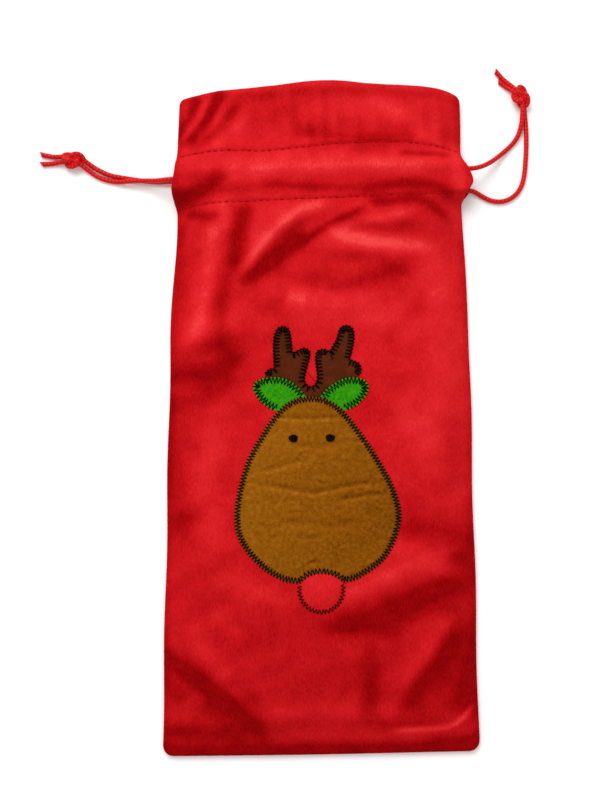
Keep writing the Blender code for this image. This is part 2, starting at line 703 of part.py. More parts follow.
def knot_lump(name, side, centre, size, parent, origin):
    """Make the knot's lump, wound round by slanting grooves."""
    vertices = [(0.0, 0.0, -1.0)]
    for ring in range(1, KNOT_RINGS):
        tilt = pi * ring / KNOT_RINGS
        for step in range(KNOT_SIDES):
            turn = 2 * pi * step / KNOT_SIDES
            radius = 1.0 - KNOT_GROOVE * sin(tilt) * abs(cos(KNOT_TWIST * turn + KNOT_SLANT * tilt))
            vertices.append((radius * sin(tilt) * cos(turn), radius * sin(tilt) * sin(turn),
                             -radius * cos(tilt)))
    vertices.append((0.0, 0.0, 1.0))
    last = len(vertices) - 1
    faces = []
    for step in range(KNOT_SIDES):
        follow = (step + 1) % KNOT_SIDES
        faces.append((0, 1 + follow, 1 + step))
        faces.append((last, last - KNOT_SIDES + step, last - KNOT_SIDES + follow))
        for ring in range(KNOT_RINGS - 2):
            low = 1 + ring * KNOT_SIDES
            faces.append((low + step, low + follow, low + KNOT_SIDES + follow, low + KNOT_SIDES + step))
    middle = knot_middle(side, centre)
    turned = [(size[0] * z, size[1] * x, size[2] * y) for x, y, z in vertices]
    shift = middle - Vector(origin)
    shaped = [Vector(vertex) + shift for vertex in turned]
    return mesh_object(name, shaped, faces, RED_SATIN, parent, origin)


def build_drawcord(name, side, runs, strands, knot, tails):
    """One drawcord: its loop through the casing, its knot and the two cut tails."""
    origin = Vector((side * exit_x(), CASING_MIDDLE, BACK_RUN_Z))
    pull = make_empty(f"{name}_drawcord_pull", origin)
    route = smooth_curve(cord_route(side, *runs, *strands), CORD_STEP)
    middle, size = knot_middle(side, knot[0]), knot[1]
    route = stop_at_knot(stop_at_knot(route, middle, size)[::-1], middle, size)[::-1]
    tube(f"{name}_drawcord", route, RED_SATIN, pull, origin)
    lump = knot_lump(f"{name}_knot", side, *knot, pull, origin)
    for tail in tails:
        heights = [KNOT_Z, TAIL_Z, CORD / 2 + CORD_LIFT, CORD / 2 + CORD_LIFT]
        places = strand_points(side, [(*spot, z) for spot, z in zip(tail, heights)])
        boolean(lump, "UNION", tail_tool(smooth_curve(places, CORD_STEP / 2), pull, origin))


def tail_tool(points, parent, origin):
    """Make a cut tail as a hidden mesh, to be joined to its knot."""
    cord = tube("cord_tail", points, RED_SATIN, parent, origin)
    mesh = bpy.data.meshes.new_from_object(cord)
    bpy.data.objects.remove(cord, do_unlink=True)
    shape = bmesh.new()
    shape.from_mesh(mesh)
    bmesh.ops.remove_doubles(shape, verts=shape.verts, dist=CORD_LIFT / 10)
    bmesh.ops.recalc_face_normals(shape, faces=shape.faces)
    shape.to_mesh(mesh)
    shape.free()
    tool = place(bpy.data.objects.new("tail_tool", mesh), RED_SATIN, parent, origin)
    tool.hide_render = True
    tool.display_type = "WIRE"
    return tool


clear_scene()
bag_group = make_empty("bag", (0.0, 0.0, 0.0))
build_panels(bag_group)
build_seams(bag_group)
build_reindeer(bag_group)
build_drawcord("left", -1, (LEFT_FRONT_RUN, LEFT_BACK_RUN), (LEFT_FRONT_STRAND, LEFT_BACK_STRAND),
               (LEFT_KNOT, LEFT_KNOT_SIZE), LEFT_TAILS)
build_drawcord("right", 1, (RIGHT_FRONT_RUN, RIGHT_BACK_RUN), (RIGHT_FRONT_STRAND, RIGHT_BACK_STRAND),
               (RIGHT_KNOT, RIGHT_KNOT_SIZE), RIGHT_TAILS)
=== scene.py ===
"""Looks of a velvet drawstring gift bag for a wine bottle, lying empty and flat on its back.

The bag is cut and sewn cloth: two velvet panels, a facing turned in at the mouth, a casing between
two stitch rows, a felt reindeer sewn on with zigzag thread, and two satin cords that run through the
casing. Each cloth is a thin closed shell over a grid of places (u, v): u goes from -1 at the left
side to 1 at the right one, and v is the distance along the bag from its sewn bottom to its mouth.
"""

import logging
from dataclasses import dataclass, field
from enum import Enum

import bpy
import numpy as np
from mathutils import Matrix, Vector
from mathutils.geometry import delaunay_2d_cdt


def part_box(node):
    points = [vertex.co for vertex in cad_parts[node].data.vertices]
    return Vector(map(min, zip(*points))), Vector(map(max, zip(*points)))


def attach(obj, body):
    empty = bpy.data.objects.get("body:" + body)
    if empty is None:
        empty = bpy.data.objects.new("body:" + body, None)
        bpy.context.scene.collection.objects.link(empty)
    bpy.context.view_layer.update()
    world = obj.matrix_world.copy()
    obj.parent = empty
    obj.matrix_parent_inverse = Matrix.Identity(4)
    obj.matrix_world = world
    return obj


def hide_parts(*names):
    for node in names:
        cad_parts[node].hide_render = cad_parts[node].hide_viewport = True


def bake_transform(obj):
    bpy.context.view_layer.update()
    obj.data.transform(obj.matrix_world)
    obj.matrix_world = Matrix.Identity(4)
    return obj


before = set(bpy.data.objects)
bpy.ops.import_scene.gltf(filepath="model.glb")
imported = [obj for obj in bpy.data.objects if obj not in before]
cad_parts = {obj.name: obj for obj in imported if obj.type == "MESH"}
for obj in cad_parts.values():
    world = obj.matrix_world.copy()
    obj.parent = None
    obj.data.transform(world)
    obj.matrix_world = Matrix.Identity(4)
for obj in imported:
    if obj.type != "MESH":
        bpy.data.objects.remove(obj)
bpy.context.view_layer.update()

MM = 0.001
LOG = logging.getLogger("gift_bag")
Array = np.ndarray
Line = tuple[tuple[float, ...], ...]


# ---- Small maths ---------------------------------------------------------------------------

def ramp(start: float | Array, stop: float | Array, value: Array) -> Array:
    """Rise smoothly from 0 at start to 1 at stop.

    Args:
        start: Value at which the rise begins.
        stop: Value at which it ends.
        value: Where to read it.

    Returns:
        The share, 3t^2 - 2t^3 of the way t from start to stop.
    """
    share = np.clip((value - start) / (stop - start), 0.0, 1.0)
    return share * share * (3.0 - 2.0 * share)


def smooth_curve(points: Line | Array, step: float) -> Array:
    """Sample a Catmull-Rom curve through points.

    Args:
        points: Points that the curve passes through, two or three numbers each.
        step: Distance between samples.

    Returns:
        The samples, one row each.
    """
    points = np.asarray(points, dtype=float)
    ends = np.vstack([2 * points[0] - points[1], points, 2 * points[-1] - points[-2]])
    spans = []
    for before, start, stop, after in zip(ends, ends[1:], ends[2:], ends[3:]):
        count = max(1, round(float(np.linalg.norm(stop - start)) / step))
        t = (np.arange(count) / count)[:, None]
        spans.append(0.5 * (2 * start + (stop - before) * t
                            + (2 * before - 5 * start + 4 * stop - after) * t ** 2
                            + (3 * start - before - 3 * stop + after) * t ** 3))
    return np.vstack(spans + [points[-1:]])


def outline_of(runs: list[Line]) -> Array:
    """Join smooth runs, in millimetres, that meet at corners into one closed outline in metres."""
    return np.vstack([smooth_curve(run, 1.0)[:-1] for run in runs]) * MM


def round_turn(count: int) -> Array:
    """Even angles all the way round, from 0."""
    return 2 * np.pi * np.arange(count) / count


def lengths_along(path: Array) -> Array:
    """Distance of each point of a path from its start."""
    return np.concatenate([[0.0], np.cumsum(np.linalg.norm(np.diff(path, axis=0), axis=1))])


def walk(path: Array, distances: Array) -> Array:
    """Places at given distances along a path, on its straight pieces.

    Args:
        path: The path's points.
        distances: Distances from its start.

    Returns:
        One place for each distance.
    """
    reached = lengths_along(path)
    return np.stack([np.interp(distances, reached, path[:, axis]) for axis in range(path.shape[1])], axis=1)


def closed_path(loop: Array) -> Array:
    """A loop with its first place repeated at its end."""
    return np.vstack([loop, loop[:1]])


def turning_area(loop: Array) -> float:
    """Area of a flat loop, half the sum of x1 y2 - x2 y1: positive where it runs anticlockwise."""
    follow = np.roll(loop, -1, axis=0)
    return 0.5 * float(np.sum(loop[:, 0] * follow[:, 1] - loop[:, 1] * follow[:, 0]))


def anticlockwise(loop: Array) -> Array:
    """The same loop, turned round where it runs clockwise."""
    return loop if turning_area(loop) >= 0 else loop[::-1]


def even_loop(outline: Array, step: float) -> Array:
    """Places at even steps round a closed outline.

    Args:
        outline: The closed outline's points.
        step: About how far apart the places are.

    Returns:
        The places, without a repeated first one.
    """
    loop = closed_path(outline)
    total = lengths_along(loop)[-1]
    count = max(8, round(total / step))
    return walk(loop, total * np.arange(count) / count)


def left_normals(path: Array, closed: bool) -> Array:
    """Unit normals to the left of a flat path, from the chord between each point's neighbours.

    Args:
        path: The flat path's points.
        closed: Whether it closes on itself.

    Returns:
        One normal for each point.
    """
    if closed:
        along = np.roll(path, -1, axis=0) - np.roll(path, 1, axis=0)
    else:
        along = np.gradient(path, axis=0)
    along = along / np.linalg.norm(along, axis=1, keepdims=True)
    return np.stack([-along[:, 1], along[:, 0]], axis=1)


def distance_to(x: Array, y: Array, path: Array) -> tuple[Array, Array, Array, Array]:
    """Nearest place of a flat path to each point.

    Args:
        x: Points' X.
        y: Points' Y.
        path: The path's points.

    Returns:
        Distance, the two parts of the way from the path to the point, and the share of the path's
        length at which its nearest place lies.
    """
    reached = lengths_along(path)
    best = np.full(x.shape, np.inf)
    off_x, off_y, share = np.zeros(x.shape), np.zeros(x.shape), np.zeros(x.shape)
    for start, stop, begin, end in zip(path, path[1:], reached, reached[1:]):
        way = stop - start
        t = np.clip(((x - start[0]) * way[0] + (y - start[1]) * way[1]) / (way @ way), 0.0, 1.0)
        dx, dy = x - start[0] - t * way[0], y - start[1] - t * way[1]
        far = np.hypot(dx, dy)
        near = far < best
        best = np.where(near, far, best)
        off_x, off_y = np.where(near, dx, off_x), np.where(near, dy, off_y)
        share = np.where(near, (begin + (end - begin) * t) / reached[-1], share)
    return best, off_x, off_y, share


def linear(code: str) -> tuple[float, float, float, float]:
    """Turn an sRGB hex colour into linear values: c/12.92 when dark, ((c + 0.055)/1.055)^2.4 when not.

    Args:
        code: The colour as #rrggbb.

    Returns:
        Red, green, blue and an alpha of 1.
    """
    parts = [int(code[start:start + 2], 16) / 255 for start in (1, 3, 5)]
    return (*[part / 12.92 if part <= 0.04045 else ((part + 0.055) / 1.055) ** 2.4 for part in parts], 1.0)


# ---- Making pieces -------------------------------------------------------------------------

def make_piece(name: str, points: Array, faces: list, material: bpy.types.Material,
               crease: float = 60.0) -> bpy.types.Object:
    """Make a smooth-shaded mesh object at the origin.

    Args:
        name: The piece's name.
        points: Vertices, one row each, in metres.
        faces: Lists of vertex numbers.
        material: Its finish.
        crease: Angle in degrees from which an edge is drawn sharp.

    Returns:
        The linked object.
    """
    mesh = bpy.data.meshes.new(name)
    mesh.from_pydata(points.tolist(), [], faces)
    mesh.shade_smooth()
    mesh.set_sharp_from_angle(angle=np.radians(crease))
    mesh.materials.append(material)
    piece = bpy.data.objects.new(name, mesh)
    bpy.context.collection.objects.link(piece)
    LOG.info("%s: %d faces", name, len(faces))
    return piece


def grid_faces(rows: int, columns: int, wrap: bool = False) -> Array:
    """Quads of a grid whose vertex numbers run along each row.

    Args:
        rows: Rows of vertices.
        columns: Vertices in a row.
        wrap: Whether each row closes on itself.

    Returns:
        The quads, one row each.
    """
    row, column = np.meshgrid(np.arange(rows - 1), np.arange(columns if wrap else columns - 1), indexing="ij")
    here = row * columns + column
    beside = row * columns + (column + 1) % columns
    return np.stack([here, beside, beside + columns, here + columns], axis=-1).reshape(-1, 4)


def set_uv(piece: bpy.types.Object, places: Array) -> None:
    """Give a mesh a UV map from one pair of numbers for each vertex.

    Args:
        piece: The mesh object.
        places: One row of two numbers for each vertex.
    """
    corners = np.empty(len(piece.data.loops), dtype=np.int32)
    piece.data.loops.foreach_get("vertex_index", corners)
    layer = piece.data.uv_layers.new(name="UVMap")
    layer.data.foreach_set("uv", places[corners].astype(np.float32).ravel())


def set_values(piece: bpy.types.Object, name: str, values: Array) -> None:
    """Give a mesh one number for each vertex, as a named attribute.

    Args:
        piece: The mesh object.
        name: The attribute's name.
        values: One number for each vertex.
    """
    layer = piece.data.attributes.new(name, "FLOAT", "POINT")
    layer.data.foreach_set("value", values.astype(np.float32).ravel())


def sweep(path: Array, radius: float | Array, up: tuple[float, float, float], sides: int,
          slant: tuple[float, float] = (0.0, 0.0)) -> tuple[Array, list, Array]:
    """Carry a circle along a path: centre + r (cos a * side + sin a * top), side square to up.

    Args:
        path: Centre line, in metres.
        radius: The circle's radius, one number or one for each point.
        up: A direction that the path never runs along.
        sides: Corners of the circle.
        slant: How far the cut at each end leans along the path, in radii.

    Returns:
        Vertices, faces with a cap at both ends, and UV places: millimetres along, share round.
    """
    along = np.gradient(path, axis=0)
    along /= np.linalg.norm(along, axis=1, keepdims=True)
    side = np.cross(along, np.asarray(up, dtype=float))
    side /= np.linalg.norm(side, axis=1, keepdims=True)
    top = np.cross(side, along)
    turn = round_turn(sides)
    size = np.broadcast_to(np.asarray(radius, dtype=float), (len(path),))[:, None, None]
    ring = side[:, None, :] * np.cos(turn)[None, :, None] + top[:, None, :] * np.sin(turn)[None, :, None]
    points = path[:, None, :] + size * ring
    for end, lean in zip((0, -1), slant):
        points[end] += size[end] * lean * np.cos(turn)[:, None] * along[end]
    faces = grid_faces(len(path), sides, wrap=True).tolist()
    faces.append(list(range(sides)))
    faces.append(list(range(len(path) * sides - 1, (len(path) - 1) * sides - 1, -1)))
    faces = [face[::-1] for face in faces]
    reached = np.repeat(lengths_along(path) / MM, sides)
    return points.reshape(-1, 3), faces, np.stack([reached, np.tile(turn / (2 * np.pi), len(path))], axis=1)


def joined(parts: list[tuple[Array, list, Array]]) -> tuple[Array, list, Array]:
    """Put several vertex and face lists into one, numbering the faces on.

    Args:
        parts: Vertices, faces and UV places of each part.

    Returns:
        The same three for all the parts together.
    """
    faces, first = [], 0
    for points, part_faces, _ in parts:
        faces += [[first + corner for corner in face] for face in part_faces]
        first += len(points)
    return np.vstack([part[0] for part in parts]), faces, np.vstack([part[2] for part in parts])


def inside_loop(spots: Array, ring: Array) -> Array:
    """Whether places lie inside a closed loop: a line to the right crosses it an odd number of times.

    Args:
        spots: The places, one row each.
        ring: The loop's points.

    Returns:
        True for each place inside.
    """
    follow = np.roll(ring, -1, axis=0)
    above = (ring[None, :, 1] > spots[:, None, 1]) != (follow[None, :, 1] > spots[:, None, 1])
    lean = np.where(follow[:, 1] == ring[:, 1], 1.0, follow[:, 1] - ring[:, 1])
    slant = (follow[:, 0] - ring[:, 0])[None, :] / lean[None, :]
    cross = ring[None, :, 0] + (spots[:, None, 1] - ring[None, :, 1]) * slant
    return np.sum(above & (spots[:, None, 0] < cross), axis=1) % 2 == 1


def filled(ring: Array, spacing: float) -> tuple[Array, list]:
    """Fill a flat closed ring with triangles over an even field of places inside it.

    Args:
        ring: The ring's places, anticlockwise.
        spacing: Distance between the places inside.

    Returns:
        The added places, and triangles whose numbers start with the ring's own.
    """
    low, high = ring.min(axis=0), ring.max(axis=0)
    x, y = np.meshgrid(np.arange(low[0], high[0], spacing), np.arange(low[1], high[1], spacing))
    spots = np.stack([x.ravel(), y.ravel()], axis=1)
    far = distance_to(spots[:, 0], spots[:, 1], closed_path(ring))[0]
    spots = spots[inside_loop(spots, ring) & (far > 0.4 * spacing)]
    count = len(ring)
    rim = [(i, (i + 1) % count) for i in range(count)]
    corners = [Vector(spot) for spot in np.vstack([ring, spots]).tolist()]
    _, _, triangles, *_ = delaunay_2d_cdt(corners, rim, [list(range(count))], 1, 1e-9)
    return spots, [list(triangle) for triangle in triangles]


# ---- Finishes ------------------------------------------------------------------------------

def add_node(tree: bpy.types.NodeTree, kind: str, settings: dict | None = None,
             links: dict | None = None) -> bpy.types.Node:
    """Add a node to a tree.

    Args:
        tree: The material's tree.
        kind: The node's type name.
        settings: Properties by name, or input values by number or by name.
        links: Sockets to join to its inputs, by number or by name.

    Returns:
        The new node.
    """
    new = tree.nodes.new(kind)
    for key, value in (settings or {}).items():
        if isinstance(key, str) and hasattr(new, key):
            setattr(new, key, value)
        else:
            new.inputs[key].default_value = value
    for key, socket in (links or {}).items():
        tree.links.new(socket, new.inputs[key])
    return new


def start_material(name: str, **settings: float | tuple) -> tuple[bpy.types.Material, bpy.types.Node]:
    """Make a Principled material with values set straight on the shader's sockets.

    Args:
        name: The material's name.
        settings: Values of the shader's inputs, named in small letters.

    Returns:
        The material and its shader.
    """
    material = bpy.data.materials.new(name)
    material.use_nodes = True
    shader = material.node_tree.nodes["Principled BSDF"]
    for key, value in settings.items():
        shader.inputs[key.replace("_", " ").title().replace("Ior", "IOR")].default_value = value
    return material, shader


@dataclass(frozen=True)
class Velvet:
    """Short-pile polyester velvet: matt, with painted highlight and painted shade carried in its colour."""

    name: str
    shades: tuple[str, str, str, str, str]
    pile_width: float = 0.50
    pile_length: float = 1.9
    patch: float = 9.0
    speckle: float = 0.27
    blotch: float = 0.16
    sheen: float = 0.02
    bump: float = 0.3

    def material(self) -> bpy.types.Material:
        """Build it: the painted shading attribute (painted highlight and painted shade), pile streaks along
        the bag and soft patches choose the shade.
        """
        material, shader = start_material(self.name, roughness=0.85, specular_ior_level=0.02,
                                          sheen_weight=self.sheen, sheen_roughness=0.45,
                                          sheen_tint=linear(self.shades[4]))
        tree = material.node_tree
        place = add_node(tree, "ShaderNodeTexCoord").outputs["Object"]
        streaks = add_node(tree, "ShaderNodeMapping", {"Scale": (
            1 / (self.pile_width * MM), 1 / (self.pile_length * MM), 1 / (self.pile_width * MM))},
            {"Vector": place})
        pile = add_node(tree, "ShaderNodeTexNoise", {"Scale": 1.0, "Detail": 2.0, "Roughness": 0.6},
                        {"Vector": streaks.outputs[0]})
        patches = add_node(tree, "ShaderNodeTexNoise",
                           {"Scale": 1 / (self.patch * MM), "Detail": 3.0, "Roughness": 0.55},
                           {"Vector": place})
        # Painted highlight and painted shade, baked for each vertex from the slope of the folds towards the
        # light.
        nap = add_node(tree, "ShaderNodeAttribute", {"attribute_name": "nap"})
        fine = add_node(tree, "ShaderNodeMath", {"operation": "MULTIPLY_ADD", 1: 2 * self.speckle,
                                                 2: -self.speckle}, {0: pile.outputs["Fac"]})
        broad = add_node(tree, "ShaderNodeMath", {"operation": "MULTIPLY_ADD", 1: 2 * self.blotch,
                                                  2: -self.blotch}, {0: patches.outputs["Fac"]})
        both = add_node(tree, "ShaderNodeMath", {"operation": "ADD"},
                        {0: fine.outputs[0], 1: broad.outputs[0]})
        # Random pile and patch tone plus the painted shading choose the colour.
        lean = add_node(tree, "ShaderNodeMath", {"operation": "ADD"},
                        {0: both.outputs[0], 1: nap.outputs["Fac"]})
        shade = add_node(tree, "ShaderNodeValToRGB", {}, {"Fac": lean.outputs[0]})
        stops, last = shade.color_ramp.elements, len(self.shades) - 1
        for index in range(1, last):
            stops.new(index / last)
        for stop, colour in zip(stops, self.shades):
            stop.color = linear(colour)
        tree.links.new(shade.outputs["Color"], shader.inputs["Base Color"])
        bump = add_node(tree, "ShaderNodeBump", {"Strength": self.bump, "Distance": 0.25 * MM},
                        {"Height": pile.outputs["Fac"]})
        tree.links.new(bump.outputs["Normal"], shader.inputs["Normal"])
        return material


@dataclass(frozen=True)
class Thread:
    """Twisted polyester sewing thread: a low gloss, and a painted highlight along its diagonal plies."""

    name: str
    colour: str
    ply_highlight: str
    twist: float = 0.8
    gloss_level: float = 0.2

    def material(self) -> bpy.types.Material:
        """Build it: a wave at a slant to the surface lifts each ply and lightens it with a painted highlight.
        """
        material, shader = start_material(self.name, roughness=0.6, specular_ior_level=self.gloss_level)
        tree = material.node_tree
        place = add_node(tree, "ShaderNodeTexCoord").outputs["Object"]
        plies = add_node(tree, "ShaderNodeTexWave", {"bands_direction": "DIAGONAL", "Distortion": 1.0,
                                                     "Scale": 0.05 / (self.twist * MM)}, {"Vector": place})
        # The second colour is a painted highlight on the plies.
        shade = add_node(tree, "ShaderNodeMix", {"data_type": "RGBA", 6: linear(self.colour),
                                                 7: linear(self.ply_highlight)}, {0: plies.outputs["Fac"]})
        tree.links.new(shade.outputs[2], shader.inputs["Base Color"])
        bump = add_node(tree, "ShaderNodeBump", {"Strength": 0.4, "Distance": 0.1 * MM},
                        {"Height": plies.outputs["Fac"]})
        tree.links.new(bump.outputs["Normal"], shader.inputs["Normal"])
        return material


@dataclass(frozen=True)
class SatinCord:
    """Braided satin rattail cord: yarns slant both ways round it, with a painted highlight on top of each and
    painted shade where they dive.

    A yarn is about 0.5 mm wide; the braid is drawn a little coarser so that it shows.
    """

    name: str = "red satin rattail cord"
    shades: tuple[str, str, str] = ("#b4050a", "#ca0e13", "#e6261e")
    yarn: float = 0.5
    around: float = 4.0

    def material(self) -> bpy.types.Material:
        """Build it: two slanting waves on the cord's own UV map multiply to the diamonds of a braid."""
        material, shader = start_material(self.name, roughness=0.42, specular_ior_level=0.12)
        tree = material.node_tree
        place = add_node(tree, "ShaderNodeTexCoord").outputs["UV"]
        waves = []
        for slant in (1.0, -1.0):
            scale = (0.5 / self.yarn, slant * self.around, 1.0)
            turned = add_node(tree, "ShaderNodeMapping", {"Scale": scale}, {"Vector": place})
            waves.append(add_node(tree, "ShaderNodeTexWave", {"bands_direction": "DIAGONAL", "Scale": 0.31,
                                                              "Distortion": 0.5, "Detail": 1.0},
                                  {"Vector": turned.outputs[0]}))
        braid = add_node(tree, "ShaderNodeMath", {"operation": "MULTIPLY"},
                         {0: waves[0].outputs["Fac"], 1: waves[1].outputs["Fac"]})
        # The braid pattern picks painted shade, mid red and a painted highlight.
        shade = add_node(tree, "ShaderNodeValToRGB", {}, {"Fac": braid.outputs[0]})
        shade.color_ramp.elements[0].color = linear(self.shades[0])
        shade.color_ramp.elements[1].color = linear(self.shades[2])
        shade.color_ramp.elements.new(0.22).color = linear(self.shades[1])
        tree.links.new(shade.outputs["Color"], shader.inputs["Base Color"])
        bump = add_node(tree, "ShaderNodeBump", {"Strength": 0.5, "Distance": 0.12 * MM},
                        {"Height": braid.outputs[0]})
        tree.links.new(bump.outputs["Normal"], shader.inputs["Normal"])
        return material


@dataclass(frozen=True)
class Felt:
    """Thin pressed felt or knitted backing: short loose fibres, no pile direction."""

    name: str
    low: str
    high: str
    fibre: float = 1.1
    roughness: float = 0.9
    rib: float = 0.0

    def material(self) -> bpy.types.Material:
        """Build it: two noises for fibres and dye, with a fine knit rib where it has one."""
        material, shader = start_material(self.name, roughness=self.roughness, specular_ior_level=0.06)
        tree = material.node_tree
        place = add_node(tree, "ShaderNodeTexCoord").outputs["Object"]
        fibres = add_node(tree, "ShaderNodeTexNoise", {"Scale": 1 / (self.fibre * MM), "Detail": 4.0,
                                                       "Roughness": 0.65, "Distortion": 0.8},
                          {"Vector": place})
        shade = add_node(tree, "ShaderNodeValToRGB", {}, {"Fac": fibres.outputs["Fac"]})
        shade.color_ramp.elements[0].position = 0.3
        shade.color_ramp.elements[0].color = linear(self.low)
        shade.color_ramp.elements[1].position = 0.7
        shade.color_ramp.elements[1].color = linear(self.high)
        tree.links.new(shade.outputs["Color"], shader.inputs["Base Color"])
        height = fibres.outputs["Fac"]
        if self.rib:
            ribs = add_node(tree, "ShaderNodeTexWave",
                            {"bands_direction": "X", "Scale": 0.05 / (self.rib * MM), "Distortion": 0.4},
                            {"Vector": place})
            height = add_node(tree, "ShaderNodeMath", {"operation": "ADD"},
                              {0: fibres.outputs["Fac"], 1: ribs.outputs["Fac"]}).outputs[0]
        bump = add_node(tree, "ShaderNodeBump", {"Strength": 0.35, "Distance": 0.2 * MM}, {"Height": height})
        tree.links.new(bump.outputs["Normal"], shader.inputs["Normal"])
        return material


# Each velvet's five shades run from painted shade to painted highlight of its one colour; the painted shading
# and random pile tone pick among them.
RED_VELVET = Velvet("red polyester velvet", ("#7e0003", "#a2060b", "#c0141a", "#d42328", "#e64242"))
BROWN_VELVET = Velvet("golden brown velvet", ("#4a2204", "#6a3803", "#834a06", "#94590e", "#b07a2e"),
                      pile_width=0.8, pile_length=0.7, patch=2.0, speckle=0.28, blotch=0.36, sheen=0.01)
DARK_BROWN_VELVET = Velvet("dark brown velvet", ("#240b03", "#3c1606", "#4f200c", "#602c14", "#7a4430"),
                           pile_width=0.6, pile_length=0.9, patch=8.0, speckle=0.18, blotch=0.24, sheen=0.04)
GREEN_FELT = Felt("green acrylic felt", "#127204", "#3c9e08", fibre=1.3)
KNIT_BACKING = Felt("red knitted velvet backing", "#9c0b12", "#bd161d", fibre=0.9, rib=0.7)
# The red thread's colour is darkened below the velvet's red: painted shade of the stitch grooves that it lies
# in.
RED_THREAD = Thread("red sewing thread", "#94060b", "#bc1018", gloss_level=0.03)
BLACK_THREAD = Thread("black embroidery thread", "#030202", "#0d0b0a", gloss_level=0.02)
EYE_THREAD = Thread("black satin stitch", "#030202", "#0c0a0a", twist=0.5, gloss_level=0.03)


# ---- The shape of the cloth ----------------------------------------------------------------

@dataclass(frozen=True)
class Fold:
    """A soft fold in the cloth: its crest in millimetres, its height, and the reach of its two flanks.

    The lit flank faces the light at the mouth end, and the shaded flank faces away from it.
    """

    crest: Line
    height: float
    lit: float
    shaded: float

    def rise(self, x: Array, y: Array) -> Array:
        """Height of the fold at places: a bell across the crest that tapers towards both ends.

        Args:
            x: Places' X, in metres.
            y: Places' Y, in metres.

        Returns:
            The height in metres.
        """
        path = smooth_curve(self.crest, 6.0)
        far, off_x, off_y, share = distance_to(x / MM, y / MM, path)
        reach = np.where(off_x * LIGHT[0] + off_y * LIGHT[1] > 0, self.lit, self.shaded)
        taper = ramp(0.0, 0.3, share) * ramp(0.0, 0.3, 1.0 - share)
        return self.height * MM * taper * np.exp(-(far / reach) ** 2)


LIGHT = (-0.35, 0.94)

BODY_FOLDS = (
    Fold(((-2, 108), (-12.4, 98.5), (-20.2, 92.4), (-27.5, 84.8), (-36, 74), (-42, 64)), 1.3, 9.0, 5.0),
    Fold(((-12, 84), (-1, 82.1), (15.6, 80), (33.8, 77.9), (46, 70), (52, 62)), 0.8, 8.0, 5.0),
    Fold(((6, 104), (13.2, 100.1), (26.2, 95.2), (41.8, 95.2), (56, 98)), 0.8, 7.0, 4.5),
    Fold(((-44, 64), (-29.9, 57.4), (-15.4, 51), (-2.1, 49.9), (18, 51), (30, 55)), 0.6, 8.0, 7.0),
    Fold(((-47, 116), (-49, 105.5), (-50.8, 82.6), (-55.7, 58.4), (-60, 30), (-62, 12)), 0.9, 7.0, 7.0),
    Fold(((-92, 28), (-75.8, 29.8), (-61.5, 31.4), (-43.1, 36.1), (-30, 42)), 1.0, 8.0, 6.0),
    Fold(((-24, -105), (-10.1, -101.3), (4.6, -98.4), (17.5, -94), (29.4, -88.6), (41.4, -83.1),
          (54.3, -78.2), (68.3, -75.7), (96, -73)), 1.5, 12.0, 7.0),
    Fold(((60, -96), (56.8, -105.6), (54.5, -121.6), (47.5, -132.7), (40.5, -143.2), (30, -160)),
         0.9, 8.0, 7.0),
    Fold(((30, -118), (25, -132.7), (21, -143.2), (14, -163)), 0.5, 6.0, 6.0),
    Fold(((-84, -104), (-70.9, -119.3), (-61, -128.9), (-49.1, -140.4), (-37.3, -148), (-20, -160)),
         1.2, 9.0, 6.5),
    Fold(((60, 60), (64, 20), (62, -20), (66, -60)), 0.7, 10.0, 8.0),
    Fold(((-90, -60), (-66, -52), (-52, -36), (-48, -10)), 0.7, 10.0, 8.0),
    Fold(((-60, -160), (-20, -157.5), (30, -157), (60, -158), (90, -158)), 0.7, 6.0, 5.0),
)
CASING_FOLDS = (
    Fold(((-120, 121), (-75.5, 122.6), (-30, 123.5), (20, 125), (76.9, 126), (120, 127)), 1.3, 6.5, 5.0),
    Fold(((-60, 112), (-36, 116), (-20, 113)), 0.4, 4.0, 4.0),
    Fold(((24, 113), (44, 117), (66, 115)), 0.4, 4.0, 4.0),
)
RUFFLE_FOLDS = (
    Fold(((-80, 136), (-69, 147), (-58, 158), (-50, 176)), 0.8, 5.5, 4.0),
    Fold(((-72, 134), (-60, 143), (-50, 155), (-42, 172)), 0.9, 5.0, 4.0),
    Fold(((-24, 152), (-6.1, 153), (13.5, 154), (37.3, 152), (56, 150)), 0.3, 8.0, 6.0),
    Fold(((-120, 166.5), (-40, 167), (0, 171), (40, 169.5), (120, 166)), 0.5, 5.0, 4.0),
    Fold(((62, 140), (68, 150), (70, 164), (72, 176)), 0.6, 5.0, 5.0),
)
HEAD_CREASES = (
    Fold(((-34, -7), (-26.4, -8.2), (-10.2, -9.2), (10, -8.6), (26.2, -7.6)), -0.35, 1.6, 1.3),
    Fold(((-40, -41), (-32.8, -42.8), (-17.7, -44.8), (-3.2, -47.3), (12.3, -43.8), (32.9, -40.7), (40, -39)),
         -0.40, 1.7, 1.4),
    Fold(((5, -52), (12.3, -50.3), (22.3, -48.3), (32.8, -47.8), (38, -48)), -0.35, 1.6, 1.3),
    Fold(((-33, -37), (-25.3, -35.2), (-10.2, -31.2), (-2, -31)), -0.30, 1.8, 1.5),
    Fold(((-30, -66), (-12, -62), (6, -64), (24, -60)), -0.25, 2.2, 1.8),
    Fold(((-22, -20), (-4, -24), (18, -21)), -0.20, 2.2, 1.8),
)
